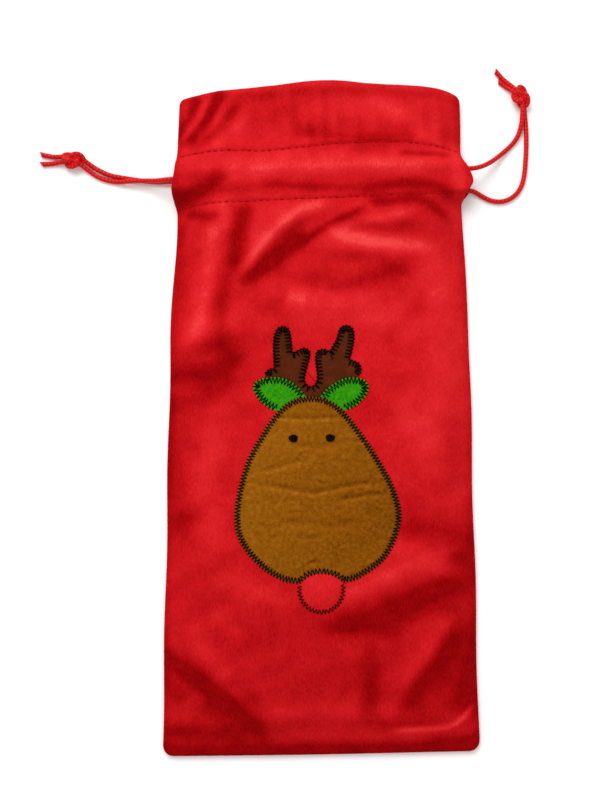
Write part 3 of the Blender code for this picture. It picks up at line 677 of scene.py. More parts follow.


# Painted highlight (positive) and painted shade (negative) strokes on the front velvet, mostly along its
# folds and seams: crest, strength, reach.
PAINTED_STROKES = (
    (((-82, 106), (-70, 108), (-61, 112), (-54, 118), (-46, 124)), -0.46, 5.2),
    (((-80, 120), (-50, 120.5), (-20, 121.5), (10, 122.5), (40, 123.5), (84, 123)), 0.44, 4.2),
    (((71, 144), (74, 120), (74, 84)), 0.20, 5.0),
    (((-34, 116), (-16, 114), (4, 113), (24, 113)), -0.26, 2.6),
    (((12, 111), (28, 113.5), (44, 115.5), (60, 114), (70, 108), (76, 102)), -0.36, 4.0),
    (((38, 132), (50, 131.5), (62, 131), (72, 131)), -0.34, 1.8),
    (((-84, 142), (-75, 147), (-68, 156), (-63, 168)), -0.46, 3.6),
    (((-74, 138), (-68, 147), (-62, 156), (-57, 168)), 0.12, 2.2),
    (((-74, 136), (-63, 146), (-56, 158), (-51, 172)), -0.48, 3.6),
    (((-62, 132), (-49, 143), (-41, 152), (-34, 166)), 0.16, 4.0),
    (((10, 132), (24, 134), (38, 133)), -0.14, 4.0),
    (((-52, 110), (-49, 100), (-48, 88)), 0.16, 3.6),
    (((-24, 146), (0, 143.5), (16, 141.5), (34, 140.5), (56, 141)), -0.22, 4.5),
    (((-56, 156), (-40, 157), (-20, 157), (0, 156)), -0.14, 7.0),
    (((20, 164), (38, 158), (54, 146), (66, 138)), 0.16, 5.0),
    (((-72, 101), (-64, 98.5), (-57, 97), (-50, 98)), -0.36, 3.2),
    (((20, 106), (36, 106), (52, 107), (62, 101), (70, 92)), -0.34, 3.0),
    (((8, 92), (20, 94), (34, 97), (50, 100)), 0.18, 2.4),
    (((12, 106.5), (-3, 103), (-14, 97), (-24, 88), (-35, 75), (-46, 62)), 0.44, 3.6),
    (((28, 103), (15, 98), (4, 92.5), (-6, 86), (-16, 79)), -0.42, 2.4),
    (((-4, 92), (-14, 83), (-23, 75), (-32, 68), (-46, 61)), -0.52, 4.6),
    (((-2, 95), (6, 90), (18, 86), (32, 83.5), (50, 83), (64, 78)), 0.40, 4.2),
    (((24, 104), (36, 104), (50, 105)), -0.14, 2.6),
    (((-16, 66), (0, 62.5), (14, 62), (28, 65), (42, 69), (54, 68)), -0.22, 5.5),
    (((-72, 110), (-73, 90), (-73, 62), (-75, 36), (-80, 20)), -0.16, 4.4),
    (((-55, 106), (-56, 86), (-58, 62), (-64, 38), (-70, 24)), 0.22, 4.5),
    (((-40, 106), (-42, 92), (-44, 78), (-43, 66)), -0.34, 4.0),
    (((-47, 72), (-51, 50), (-50, 34), (-46, 18)), -0.22, 4.4),
    (((-36, 108), (-37, 95), (-39, 80), (-40, 70)), -0.18, 3.0),
    (((-92, 17), (-74, 15), (-60, 14), (-47, 19), (-36, 30)), -0.36, 6.5),
    (((-86, -2), (-62, 2), (-48, 9), (-38, 14)), -0.24, 7.0),
    (((-18, 56), (-12, 54), (-6, 53)), 0.20, 5.0),
    (((-20, 50), (4, 47), (20, 48), (40, 42), (56, 46)), 0.24, 10.0),
    (((56, 64), (48, 48), (36, 34), (28, 28)), -0.16, 4.0),
    (((60, 96), (62, 60), (66, 34), (64, -20)), 0.16, 13.0),
    (((-90, 6), (-79, -10), (-75, -40), (-68, -84)), -0.24, 8.5),
    (((-50, 0), (-56, -36), (-54, -66), (-46, -86)), 0.12, 8.0),
    (((38, 4), (48, -10), (54, -26), (50, -42)), 0.18, 9.0),
    (((36, -58), (50, -64), (66, -68), (84, -68)), -0.34, 9.0),
    (((-56, -84), (-40, -93), (-26, -99), (-8, -104)), 0.16, 5.0),
    (((-12, -105), (2, -102), (20, -96.5), (34, -90), (48, -84.5), (60, -82), (74, -82)), 0.42, 5.0),
    (((66, -74), (72, -82), (82, -90)), -0.24, 6.0),
    (((-4, -114), (8, -113), (24, -110), (38, -103), (50, -97.5), (62, -93), (80, -91)), -0.50, 4.8),
    (((18, -118), (36, -112), (52, -104), (70, -99), (84, -99)), -0.20, 8.0),
    (((-54, -104), (-46, -112), (-38, -118)), 0.12, 5.0),
    (((64, -104), (57, -118), (46, -133), (36, -146)), 0.14, 4.2),
    (((74, -104), (66, -118), (56, -134), (44, -148), (34, -160)), -0.24, 4.6),
    (((28, -118), (23, -132), (24, -146), (26, -162)), -0.22, 5.0),
    (((62, -108), (62, -124), (58, -142), (56, -150)), -0.12, 5.0),
    (((-82, -136), (-72, -143), (-66, -150)), -0.20, 5.0),
    (((-46, -134), (-36, -143), (-28, -150)), -0.18, 4.6),
    (((90, -100), (76, -118), (71, -136), (72, -158)), -0.36, 8.0),
    (((-66, -108), (-58, -122), (-46, -136), (-32, -148)), 0.14, 6.0),
    (((-96, -112), (-78, -127), (-64, -136), (-50, -146), (-36, -158), (-20, -172)), -0.46, 3.8),
    (((-58, -146), (-47, -155), (-42, -164)), -0.22, 5.0),
    (((-84, -162), (-66, -163.5), (-44, -165), (-30, -165)), -0.34, 4.2),
    (((40, -152), (54, -154), (70, -152), (84, -150)), -0.24, 6.0),
    (((52, -168), (66, -168), (84, -164)), -0.30, 3.4),
    (((30, -163), (48, -162), (62, -161), (70, -156), (78, -146)), 0.46, 1.5),
    (((-140, -172), (-50, -173), (0, -172.5), (50, -171.5), (140, -170)), -0.50, 4.0),
    (((-30, -161), (0, -161), (30, -160)), 0.12, 3.5),
    (((-90, -95), (-40, -128), (20, -130), (80, -125)), -0.14, 42.0),
)


def crinkles(count: int, seed: int) -> tuple[Fold, ...]:
    """Short random creases all over the head, mostly across it: places, slants and lengths are drawn.

    Args:
        count: How many creases.
        seed: Seed of the random draws.

    Returns:
        The creases as small folds.
    """
    chance = np.random.default_rng(seed)
    folds = []
    for _ in range(count):
        x, y = chance.uniform(-36, 34), chance.uniform(-86, -4)
        heading, length, bend = chance.normal(0.1, 0.55), chance.uniform(6, 15), chance.uniform(-1.5, 1.5)
        way = np.array([np.cos(heading), np.sin(heading)]) * length / 2
        points = [(x - way[0], y - way[1]), (x - bend * 0.3, y + bend), (x + way[0], y + way[1])]
        folds.append(Fold(tuple(points), float(chance.choice([-0.13, 0.13, 0.17])), 1.1, 0.9))
    return tuple(folds)


class Side(Enum):
    """Half of the bag, split down its middle because each cord gathers one side."""

    LEFT = -1
    RIGHT = 1

    @property
    def word(self) -> str:
        """The side's name in piece names."""
        return self.name.lower()

    @property
    def puller(self) -> str:
        """Body of the cord whose loop turns back at this side and so gathers it."""
        return "right_cord" if self is Side.LEFT else "left_cord"


class Zone(Enum):
    """Stretch of the cloth below or above the lower stitch row."""

    BODY = "body"
    MOUTH = "mouth"


class Layer(Enum):
    """A cloth, from the table up."""

    BACK_PANEL = "back_panel"
    BACK_FACING = "back_facing"
    FRONT_FACING = "front_facing"
    FRONT_PANEL = "front_panel"

    @property
    def facing(self) -> bool:
        """Whether it is the part that is turned in at the mouth."""
        return self in (Layer.BACK_FACING, Layer.FRONT_FACING)

    @property
    def looks_down(self) -> bool:
        """Whether its outer face looks down at the table."""
        return self in (Layer.BACK_PANEL, Layer.FRONT_FACING)


def painted_strokes(x: Array, y: Array) -> Array:
    """Sum of the painted highlight and painted shade strokes: each is a bell across its line that tapers
    towards both ends.

    Args:
        x: Places' X, in metres.
        y: Places' Y, in metres.

    Returns:
        The sum: positive for painted highlight, negative for painted shade.
    """
    total = np.zeros(x.shape)
    for crest, strength, reach in PAINTED_STROKES:
        far, _, _, share = distance_to(x / MM, y / MM, smooth_curve(crest, 6.0))
        taper = ramp(0.0, 0.22, share) * ramp(0.0, 0.22, 1.0 - share)
        total += strength * taper * np.exp(-(far / reach) ** 2)
    return total


@dataclass
class BagForm:
    """The bag's shape: where each place of each cloth lies. All sizes are in metres."""

    bottom: float
    mouth: float
    half: float
    lower_row: float
    upper_row: float
    facing_end: float
    body_crown: float
    casing_crown: float
    ruffle_crown: float
    exit_x: float
    panel: float = 0.0010
    panel_shown: float = 0.0007
    facing: float = 0.0006
    tunnel: float = 0.0030
    gap: float = 0.0003
    facing_inset: float = 0.0012
    bottom_corner: float = 0.0055
    mouth_corner: float = 0.0030
    waist_pinch: float = 0.0022
    waist_length: float = 0.075
    waist_end: float = 0.008
    casing_bulge: float = 0.0004
    edge_wave: float = 0.00035
    edge_wave_length: float = 0.0135
    edge_wave_phases: tuple[float, float] = (0.6, 2.1)
    lobe_left: float = 0.0018
    lobe_left_rows: tuple[float, float, float] = (0.105, 0.1175, 0.136)
    lobe_right: float = 0.0050
    lobe_right_rows: tuple[float, float, float] = (0.104, 0.1165, 0.142)
    slit_low: float = 0.11315
    slit_high: float = 0.12635
    slit_rise: float = 0.0085
    slit_lip: float = 0.002
    slit_ease: float = 1.7
    body_slope: float = 0.385
    mouth_slope: float = 0.5
    plateau_half: float = 0.0480
    plateau_bottom: float = -0.1150
    rounding: float = 2.2
    body_edge: float = 0.0030
    hem_edge: float = 0.0041
    meet: float = 0.0015
    swell_length: float = 0.036
    swell_end: float = 0.003
    ruffle_end: float = 0.009
    foot_length: float = 0.012
    row_tilt: float = 0.046
    groove: float = 0.00040
    groove_half: float = 0.0011
    pucker: float = 0.00016
    pucker_reach: float = 0.0042
    gathers: float = 0.00014
    back_ripple: float = 0.00012
    lip_drop: float = 0.0008
    top_curl: float = 0.0019
    front_round: float = 0.0015
    back_round: float = 0.0025
    edge_calm: float = 0.75
    painted_shading_gain: float = 2.6
    painted_shading_step: float = 0.0004
    painted_side_shade: float = 0.14
    painted_row_shade: float = 0.10
    nap_row_half: float = 0.0009
    ruffle_lightening: float = 0.03
    nap_limits: tuple[float, float] = (0.08, 0.97)
    cord_radius: float = 0.00125
    turn_radius: float = 0.0046
    top_line: Line = ((-90, 165), (-75, 166.4), (-61, 167.2), (-36, 169.9), (2.4, 174.4), (28, 172.4),
                      (53, 171.2), (66, 170.2), (76, 167.8), (90, 164))
    upper_line: Line = ((-90, 128.5), (-74.3, 130.4), (-52.5, 133.3), (-26, 133.5), (5.4, 137.0),
                        (34, 138.6), (58.2, 136.8), (74.8, 134.0), (90, 131))
    bottom_line: Line = ((-90, -175), (-60, -174.9), (0, -174.2), (60, -172.9), (90, -172.4))
    waves: int = 26
    seed: int = 11
    noise: list = field(default_factory=list)

    def __post_init__(self) -> None:
        """Draw the directions, lengths and phases of the cloth's small random waves."""
        chance = np.random.default_rng(self.seed)
        for _ in range(self.waves):
            wavelength = chance.uniform(13, 60) * MM
            heading = chance.uniform(0, 2 * np.pi)
            self.noise.append((2 * np.pi / wavelength * np.cos(heading),
                               2 * np.pi / wavelength * np.sin(heading),
                               chance.uniform(0, 2 * np.pi), 0.0085 * wavelength / (2 * np.pi)))

    @classmethod
    def from_frame(cls) -> "BagForm":
        """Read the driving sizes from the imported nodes' boxes."""
        low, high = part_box("front_panel")
        upper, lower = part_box("front_upper_casing_stitches")[1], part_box("front_lower_casing_stitches")[1]
        stitch_half = 0.35 * MM
        body_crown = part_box("head_patch")[0][2] - 0.3 * MM
        return cls(bottom=low[1], mouth=high[1], half=high[0], lower_row=lower[1] - stitch_half,
                   upper_row=upper[1] - stitch_half, facing_end=0.1015, body_crown=body_crown,
                   casing_crown=high[2], ruffle_crown=body_crown + 0.9 * MM, exit_x=0.0767)

    # Plan

    def half_width(self, v: Array) -> Array:
        """Half the width: pinched under the casing, fuller in it, with round corners at both ends.

        Args:
            v: Distance along the bag.

        Returns:
            Half the width in metres.
        """
        start, stop = self.lower_row - self.waist_length, self.lower_row - self.waist_end
        pinch = self.waist_pinch * ramp(start, stop, v)
        bulge = (ramp(self.lower_row - 4 * MM, self.slit_low, v)
                 * (1.0 - ramp(self.slit_high, self.upper_row + MM, v)))
        trims = 0.0
        for radius, depth in ((self.bottom_corner, v - self.bottom), (self.mouth_corner, self.mouth - v)):
            inside = np.clip(radius - depth, 0.0, radius)
            trims = trims + radius - np.sqrt(radius ** 2 - inside ** 2)
        return self.half - pinch + self.casing_bulge * bulge - trims

    def line(self, points: Line, x: Array) -> Array:
        """Y of a smooth line across the bag, given by a few points in millimetres.

        Args:
            points: The line's points, in millimetres.
            x: Where to read it, in metres.

        Returns:
            Y in metres.
        """
        curve = smooth_curve(points, 2.0) * MM
        return np.interp(x, curve[:, 0], curve[:, 1])

    def row_y(self, x: Array) -> Array:
        """Y of the lower stitch row, which slants a little."""
        return self.lower_row - 0.0012 + self.row_tilt * x

    def lobe(self, u: Array, v: Array) -> Array:
        """How far the cord pushes the casing's end out: a low hump left, a longer one right.

        Args:
            u: Place across, -1 left to 1 right.
            v: Distance along the bag.

        Returns:
            The push along X, away from the bag.
        """
        start, crest, stop = self.lobe_left_rows
        left = -self.lobe_left * (ramp(start, crest, v) * ramp(stop, crest, v)) ** 1.6
        start, crest, stop = self.lobe_right_rows
        right = self.lobe_right * ramp(start, crest, v) * ramp(stop, crest, v) ** 1.7
        return np.where(u < 0, left, right)

    def plan(self, u: Array, v: Array, inset: float | Array = 0.0) -> tuple[Array, Array]:
        """Place in the table's plane: Y runs evenly between the bottom, the two rows and the top edge.

        Args:
            u: Place across, -1 left to 1 right.
            v: Distance along the bag.
            inset: How far in from the sides the cloth's edge lies.

        Returns:
            X and Y.
        """
        phase = np.where(u < 0, *self.edge_wave_phases)
        wave = self.edge_wave * np.sin(v / self.edge_wave_length + phase) * np.abs(u) ** 3
        x = u * (self.half_width(v) - inset) + wave + self.lobe(u, v) * np.abs(u) ** 8
        y = self.line(self.bottom_line, x)
        stops = (self.bottom, self.lower_row, self.upper_row, self.mouth)
        lines = (y, self.row_y(x), self.line(self.upper_line, x), self.line(self.top_line, x))
        for start, stop, low, high in zip(stops, stops[1:], lines, lines[1:]):
            y = y + (high - low) * np.clip((v - start) / (stop - start), 0.0, 1.0)
        return x, y

    def slit(self, y: Array) -> Array:
        """1 where the side is left open for the cords, 0 where it is sewn.

        Args:
            y: Y of the cloth's side edge.

        Returns:
            The share that is open.
        """
        top = self.slit_high + self.slit_ease * self.slit_rise
        return (ramp(self.slit_low - self.slit_rise, self.slit_low, y)
                * (1.0 - ramp(self.slit_high - self.slit_lip, top, y)))

    def side_y(self, u: Array, v: Array) -> Array:
        """Y of the cloth's side edge in the same row."""
        return self.plan(np.where(u < 0, -1.0, 1.0), v)[1]

    # Heights

    def rise(self, u: Array, v: Array) -> Array:
        """Share of the full height: 1 on the flat middle and in the slits, 0 at a sewn edge.

        Args:
            u: Place across, -1 left to 1 right.
            v: Distance along the bag.

        Returns:
            The share of the height.
        """
        side = self.half_width(v)
        reach = np.clip((np.abs(u) * side - self.plateau_half) / (side - self.plateau_half), 0.0, 1.0)
        sewn = 1.0 - reach ** self.rounding
        across = sewn + (1.0 - sewn) * self.slit(self.side_y(u, v))
        foot = np.clip((v - self.bottom) / (self.plateau_bottom - self.bottom), 0.0, 1.0)
        return across * (1.0 - (1.0 - foot) ** self.rounding)

    def crown(self, v: Array) -> Array:
        """Height of the flat middle: body, higher casing, lower ruffle.

        Args:
            v: Distance along the bag.

        Returns:
            The height in metres.
        """
        casing = ramp(self.lower_row - self.swell_length, self.lower_row - self.swell_end, v)
        ruffle = ramp(self.upper_row + MM, self.upper_row + self.ruffle_end, v)
        return (self.body_crown + (self.casing_crown - self.body_crown) * casing
                - (self.casing_crown - self.ruffle_crown) * ruffle)

    def nose(self, depth: Array, radius: float) -> Array:
        """Quarter round at an edge: 1 at the edge, 0 from one radius in.

        Args:
            depth: Distance in from the edge.
            radius: The edge's radius.

        Returns:
            The share of the drop.
        """
        inside = np.clip((radius - depth) / radius, 0.0, 1.0)
        return 1.0 - np.sqrt(1.0 - inside ** 2)

    def stitch_dip(self, x: Array, y: Array) -> Array:
        """Groove along each stitch row, with small puckers that fan out from it.

        Args:
            x: Places' X, in metres.
            y: Places' Y, in metres.

        Returns:
            The height that it adds, in metres.
        """
        total = np.zeros(x.shape)
        for line, phase in ((self.row_y(x), 0.0), (self.line(self.upper_line, x), 1.7)):
            off = y - line
            beat = np.sin(x / 0.00125 + 2.4 * np.sin(x / 0.0093 + phase) + phase)
            drift = np.sin(x / 0.0031 + 1.7 * np.sin(x / 0.017 + 2 * phase))
            away = np.abs(off)
            total += -self.groove * np.exp(-(off / self.groove_half) ** 2)
            total += (self.pucker * (beat + 1.1 * drift) * np.exp(-away / self.pucker_reach)
                      * ramp(0, self.groove_half + 0.1 * MM, away))
        return total

    def folds(self, x: Array, y: Array) -> Array:
        """All the soft folds and the small random waves.

        Args:
            x: Places' X, in metres.
            y: Places' Y, in metres.

        Returns:
            The height that they add, in metres.
        """
        total = np.zeros(x.shape)
        for fold in BODY_FOLDS + CASING_FOLDS + RUFFLE_FOLDS:
            total += fold.rise(x, y)
        for wave_x, wave_y, phase, height in self.noise:
            total += height * np.sin(wave_x * x + wave_y * y + phase)
        gathers = self.gathers * np.sin(x / 0.0016 + 1.9 * np.sin(x / 0.011) + (y - 0.14) / 0.02)
        total += gathers * ramp(0.128, 0.142, y) * (1.0 - 0.6 * ramp(0.15, 0.172, y))
        return total

    def relief(self, x: Array, y: Array) -> Array:
        """Everything that the cloth's front does on top of its broad shape."""
        return self.folds(x, y) + self.stitch_dip(x, y)

    def front(self, u: Array, v: Array) -> Array:
        """Broad height of the front panel's outer face, without its rounded edges.

        Args:
            u: Place across, -1 left to 1 right.
            v: Distance along the bag.

        Returns:
            The height in metres.
        """
        edge = self.body_edge + (self.hem_edge - self.body_edge) * ramp(self.facing_end - 0.010,
                                                                       self.facing_end - 0.001, v)
        return edge + (self.crown(v) - edge) * self.rise(u, v)

    def fade(self, u: Array, v: Array) -> Array:
        """Share of the relief that is left near the side and bottom edges.

        Args:
            u: Place across, -1 left to 1 right.
            v: Distance along the bag.

        Returns:
            The share that is left.
        """
        foot = np.clip((v - self.bottom) / self.foot_length, 0.0, 1.0)
        return (1.0 - self.edge_calm * np.abs(u) ** 8) * (1.0 - self.edge_calm + self.edge_calm * foot)

    def drop(self, u: Array, v: Array) -> Array:
        """Space between a panel and its facing: a tunnel for the cords between the rows.

        Args:
            u: Place across, -1 left to 1 right.
            v: Distance along the bag.

        Returns:
            The space in metres.
        """
        between = (ramp(self.lower_row + 0.0007, self.slit_low, v)
                   * (1.0 - ramp(self.slit_high + 0.0034, self.upper_row - 0.0007, v)))
        return self.gap + (self.tunnel - self.gap) * between * self.rise(u, v)

    def edge_round(self, u: Array, v: Array, radius: float) -> tuple[Array, Array]:
        """Shares of the rounded edge at sewn edges, and at the open slit's edge.

        Args:
            u: Place across, -1 left to 1 right.
            v: Distance along the bag.
            radius: The edge's radius.

        Returns:
            The share at sewn edges and the share at the slit's edge.
        """
        side = self.nose((1.0 - np.abs(u)) * self.half_width(v), radius)
        foot = self.nose(v - self.bottom, radius)
        slit = self.slit(self.side_y(u, v))
        return 1.0 - (1.0 - side * (1.0 - slit)) * (1.0 - foot), side * slit

    def place(self, layer: Layer, u: Array, v: Array) -> Array:
        """Outer face of a cloth: the face that looks away from the inside of the bag.

        Args:
            layer: Which cloth.
            u: Place across, -1 left to 1 right.
            v: Distance along the bag.

        Returns:
            X, Y and Z, stacked along the last axis.
        """
        top_curl = self.top_curl * self.nose(self.mouth - v, self.facing_inset)
        if layer is Layer.FRONT_PANEL:
            x, y = self.plan(u, v)
            z = self.front(u, v) + self.relief(x, y) * self.fade(u, v)
            sewn, slit = self.edge_round(u, v, self.front_round)
            z = z - (z - self.meet) * sewn - self.lip_drop * slit - top_curl
        elif layer is Layer.BACK_PANEL:
            x, y = self.plan(u, v)
            sewn, slit = self.edge_round(u, v, self.back_round)
            dip = np.exp(-((y - self.row_y(x)) / MM) ** 2)
            dip = dip + np.exp(-((y - self.line(self.upper_line, x)) / MM) ** 2)
            ripples = self.back_ripple * (1.0 + np.sin(x / 0.0047 + 1.6 * np.sin(y / 0.019)))
            z = self.groove * dip + ripples * self.fade(u, v)
            z = z + (self.meet - 0.1 * MM - z) * sewn + self.lip_drop * slit + top_curl
        else:
            notch = max(0.0, self.exit_x - self.facing_inset - self.turn_x() + self.gap)
            x, y = self.plan(u, v, self.facing_inset + notch * self.slit(self.side_y(u, v)))
            if layer is Layer.FRONT_FACING:
                z = (self.front(u, v) + self.relief(x, y) * self.fade(u, v) - self.panel - self.drop(u, v)
                     - self.facing)
            else:
                z = self.panel + self.drop(u, v) + self.facing
        return np.stack([x, y, z], axis=-1)

    def turn_x(self) -> float:
        """Where a cord's loop starts to turn, measured from the bag's middle."""
        return self.exit_x - (self.cord_radius + self.gap + self.turn_radius)

    def normals(self, layer: Layer, u: Array, v: Array) -> Array:
        """Unit normals of a cloth's outer face, from small steps along u and v.

        Args:
            layer: Which cloth.
            u: Place across, -1 left to 1 right.
            v: Distance along the bag.

        Returns:
            The normals, stacked along the last axis.
        """
        du, dv = 0.0008, 0.00008
        across = self.place(layer, np.clip(u + du, -1, 1), v) - self.place(layer, np.clip(u - du, -1, 1), v)
        along = (self.place(layer, u, np.clip(v + dv, self.bottom, self.mouth))
                 - self.place(layer, u, np.clip(v - dv, self.bottom, self.mouth)))
        normal = np.cross(across, along)
        normal /= np.maximum(np.linalg.norm(normal, axis=-1, keepdims=True), 1e-12)
        return -normal if layer.looks_down else normal

    def nap(self, layer: Layer, u: Array, v: Array, points: Array) -> Array:
        """Painted shading of a cloth: 0 dark, 1 bright, painted highlight and painted shade from the slope of
        the folds towards the light.

        Args:
            layer: Which cloth.
            u: Place across, -1 left to 1 right.
            v: Distance along the bag.
            points: The face's places.

        Returns:
            The painted shading, 0 to 1.
        """
        x, y = points[..., 0], points[..., 1]
        step = self.painted_shading_step
        ease = self.fade(u, v)
        slope = -((self.folds(x + step, y) - self.folds(x - step, y)) * LIGHT[0]
                  + (self.folds(x, y + step) - self.folds(x, y - step)) * LIGHT[1]) / (2 * step)
        shade = 0.5 + 0.5 * np.tanh(self.painted_shading_gain * slope * ease)
        # Painted shade towards both side edges.
        shade -= self.painted_side_shade * ramp(0.93, 1.0, np.abs(u))
        # Painted shade along both stitch rows.
        for line in (self.row_y(x), self.line(self.upper_line, x)):
            shade -= self.painted_row_shade * np.exp(-((y - line) / self.nap_row_half) ** 2)
        if layer is Layer.FRONT_PANEL:
            # On the front panel, the painted light and shade strokes, and a slight lightening of the ruffle.
            shade += painted_strokes(x, y) + self.ruffle_lightening * ramp(self.upper_row, self.upper_row + 10 * MM, v)
        return np.clip(shade, *self.nap_limits)

    def surface(self, x: Array, y: Array) -> Array:
        """Height of the front panel over the flat middle of the body, where the reindeer is sewn."""
        return self.body_crown + self.relief(x, y)


@dataclass
class Cloths:
    """The panels and facings: each cloth in four pieces that meet at the middle and at the lower row."""

    form: BagForm
    fine: float = 0.0010
    coarse: float = 0.0018
    row_step: float = 0.0004
    row_margin: float = 0.0032
    edge_stations: tuple[float, ...] = (0, 0.05, 0.15, 0.3, 0.5, 0.75, 1.05, 1.4, 1.8, 2.3, 2.9, 3.6)

    def columns(self, step: float) -> Array:
        """Stations from the middle to the side: even, then closer and closer to the edge.

        Args:
            step: About how far apart the even stations are, in metres.

        Returns:
            The stations, as shares of the half width.
        """
        near = np.array(self.edge_stations) * MM / self.form.half
        count = round((1.0 - near[-1]) * self.form.half / step)
        return np.concatenate([np.linspace(0.0, 1.0 - near[-1], count, endpoint=False), 1.0 - near[::-1]])

    def rows(self, zone: Zone, layer: Layer, step: float) -> Array:
        """Stations along the bag, closer at the bottom, at both stitch rows and at the mouth.

        Args:
            zone: Below or above the lower row.
            layer: Which cloth.
            step: About how far apart the stations are.

        Returns:
            The stations, in metres along the bag.
        """
        form = self.form
        near = np.array(self.edge_stations) * MM
        fine, margin = min(step, self.row_step), self.row_margin

        def run(start: float, stop: float, pace: float) -> Array:
            return np.linspace(start, stop, max(2, round((stop - start) / pace) + 1))

        if zone is Zone.BODY:
            start = form.facing_end if layer.facing else form.bottom
            parts = [] if layer.facing else [start + near]
            low = start if layer.facing else start + near[-1]
            parts += [run(low, form.lower_row - margin, step),
                      run(form.lower_row - margin, form.lower_row, fine)]
        else:
            end = form.mouth - (form.facing_inset if layer.facing else 0.0)
            parts = [run(form.lower_row, form.lower_row + margin, fine),
                     run(form.lower_row + margin, form.upper_row - margin, 0.8 * step),
                     run(form.upper_row - margin, form.upper_row + margin, fine),
                     run(form.upper_row + margin, end - near[-1], 0.8 * step), end - near[::-1]]
        return np.unique(np.round(np.concatenate(parts), 7))

    def build(self, layer: Layer, zone: Zone, side: Side, material: bpy.types.Material) -> bpy.types.Object:
        """Build one piece as a closed shell of the cloth's thickness.

        Args:
            layer: Which cloth.
            zone: Below or above the lower row.
            side: Which half.
            material: Its finish.

        Returns:
            The piece, with smooth normals that carry on into its neighbours.
        """
        form = self.form
        step = self.fine if layer is Layer.FRONT_PANEL else self.coarse
        columns = np.sort(self.columns(step) * side.value)
        rows = self.rows(zone, layer, step)
        u, v = np.meshgrid(columns, rows)
        outer = form.place(layer, u, v)
        normals = form.normals(layer, u, v)
        depth = form.facing if layer.facing else form.panel_shown
        inner = outer - depth * normals
        count = u.size
        faces = grid_faces(*u.shape)
        flip = layer.looks_down
        outside = faces[:, ::-1] if flip else faces
        inside = count + (faces if flip else faces[:, ::-1])
        index = np.arange(count).reshape(u.shape)
        rim = np.concatenate([index[0], index[1:, -1], index[-1, -2::-1], index[-2:0:-1, 0]])
        follow = np.roll(rim, -1)
        wall = np.stack([rim, count + rim, count + follow, follow], axis=1)
        wall = wall[:, ::-1] if flip else wall
        name = f"{layer.value}_{zone.value}_{side.word}"
        piece = make_piece(name, np.vstack([outer.reshape(-1, 3), inner.reshape(-1, 3)]),
                           np.vstack([outside, inside, wall]).tolist(), material, 40.0)
        nap = form.nap(layer, u, v, outer)
        set_values(piece, "nap", np.concatenate([nap.ravel(), nap.ravel()]))
        corner_normals = np.zeros((4 * (2 * len(faces) + len(wall)), 3))
        flat_normals = normals.reshape(-1, 3)
        corner_normals[:4 * len(faces)] = flat_normals[outside.ravel()]
        corner_normals[4 * len(faces):8 * len(faces)] = -flat_normals[inside.ravel() - count]
        piece.data.normals_split_custom_set(corner_normals.tolist())
        return piece

    def dress(self, piece: bpy.types.Object, layer: Layer) -> None:
        """Bake a piece's place into its mesh and hide its cloth's CAD node.

        Args:
            piece: The cloth piece.
            layer: Which cloth.
        """
        gather(piece)
        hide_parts(layer.value)

    def build_all(self) -> None:
        """Build every cloth piece."""
        velvet, backing = RED_VELVET.material(), KNIT_BACKING.material()
        for layer in Layer:
            for zone in Zone:
                for side in Side:
                    piece = self.build(layer, zone, side, backing if layer.facing else velvet)
                    self.dress(piece, layer)


def gather(piece: bpy.types.Object) -> None:
    """Bake a piece's place into its mesh.

    Args:
        piece: The cloth or stitch row.
    """
    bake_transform(piece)


# ---- Sewing --------------------------------------------------------------------------------

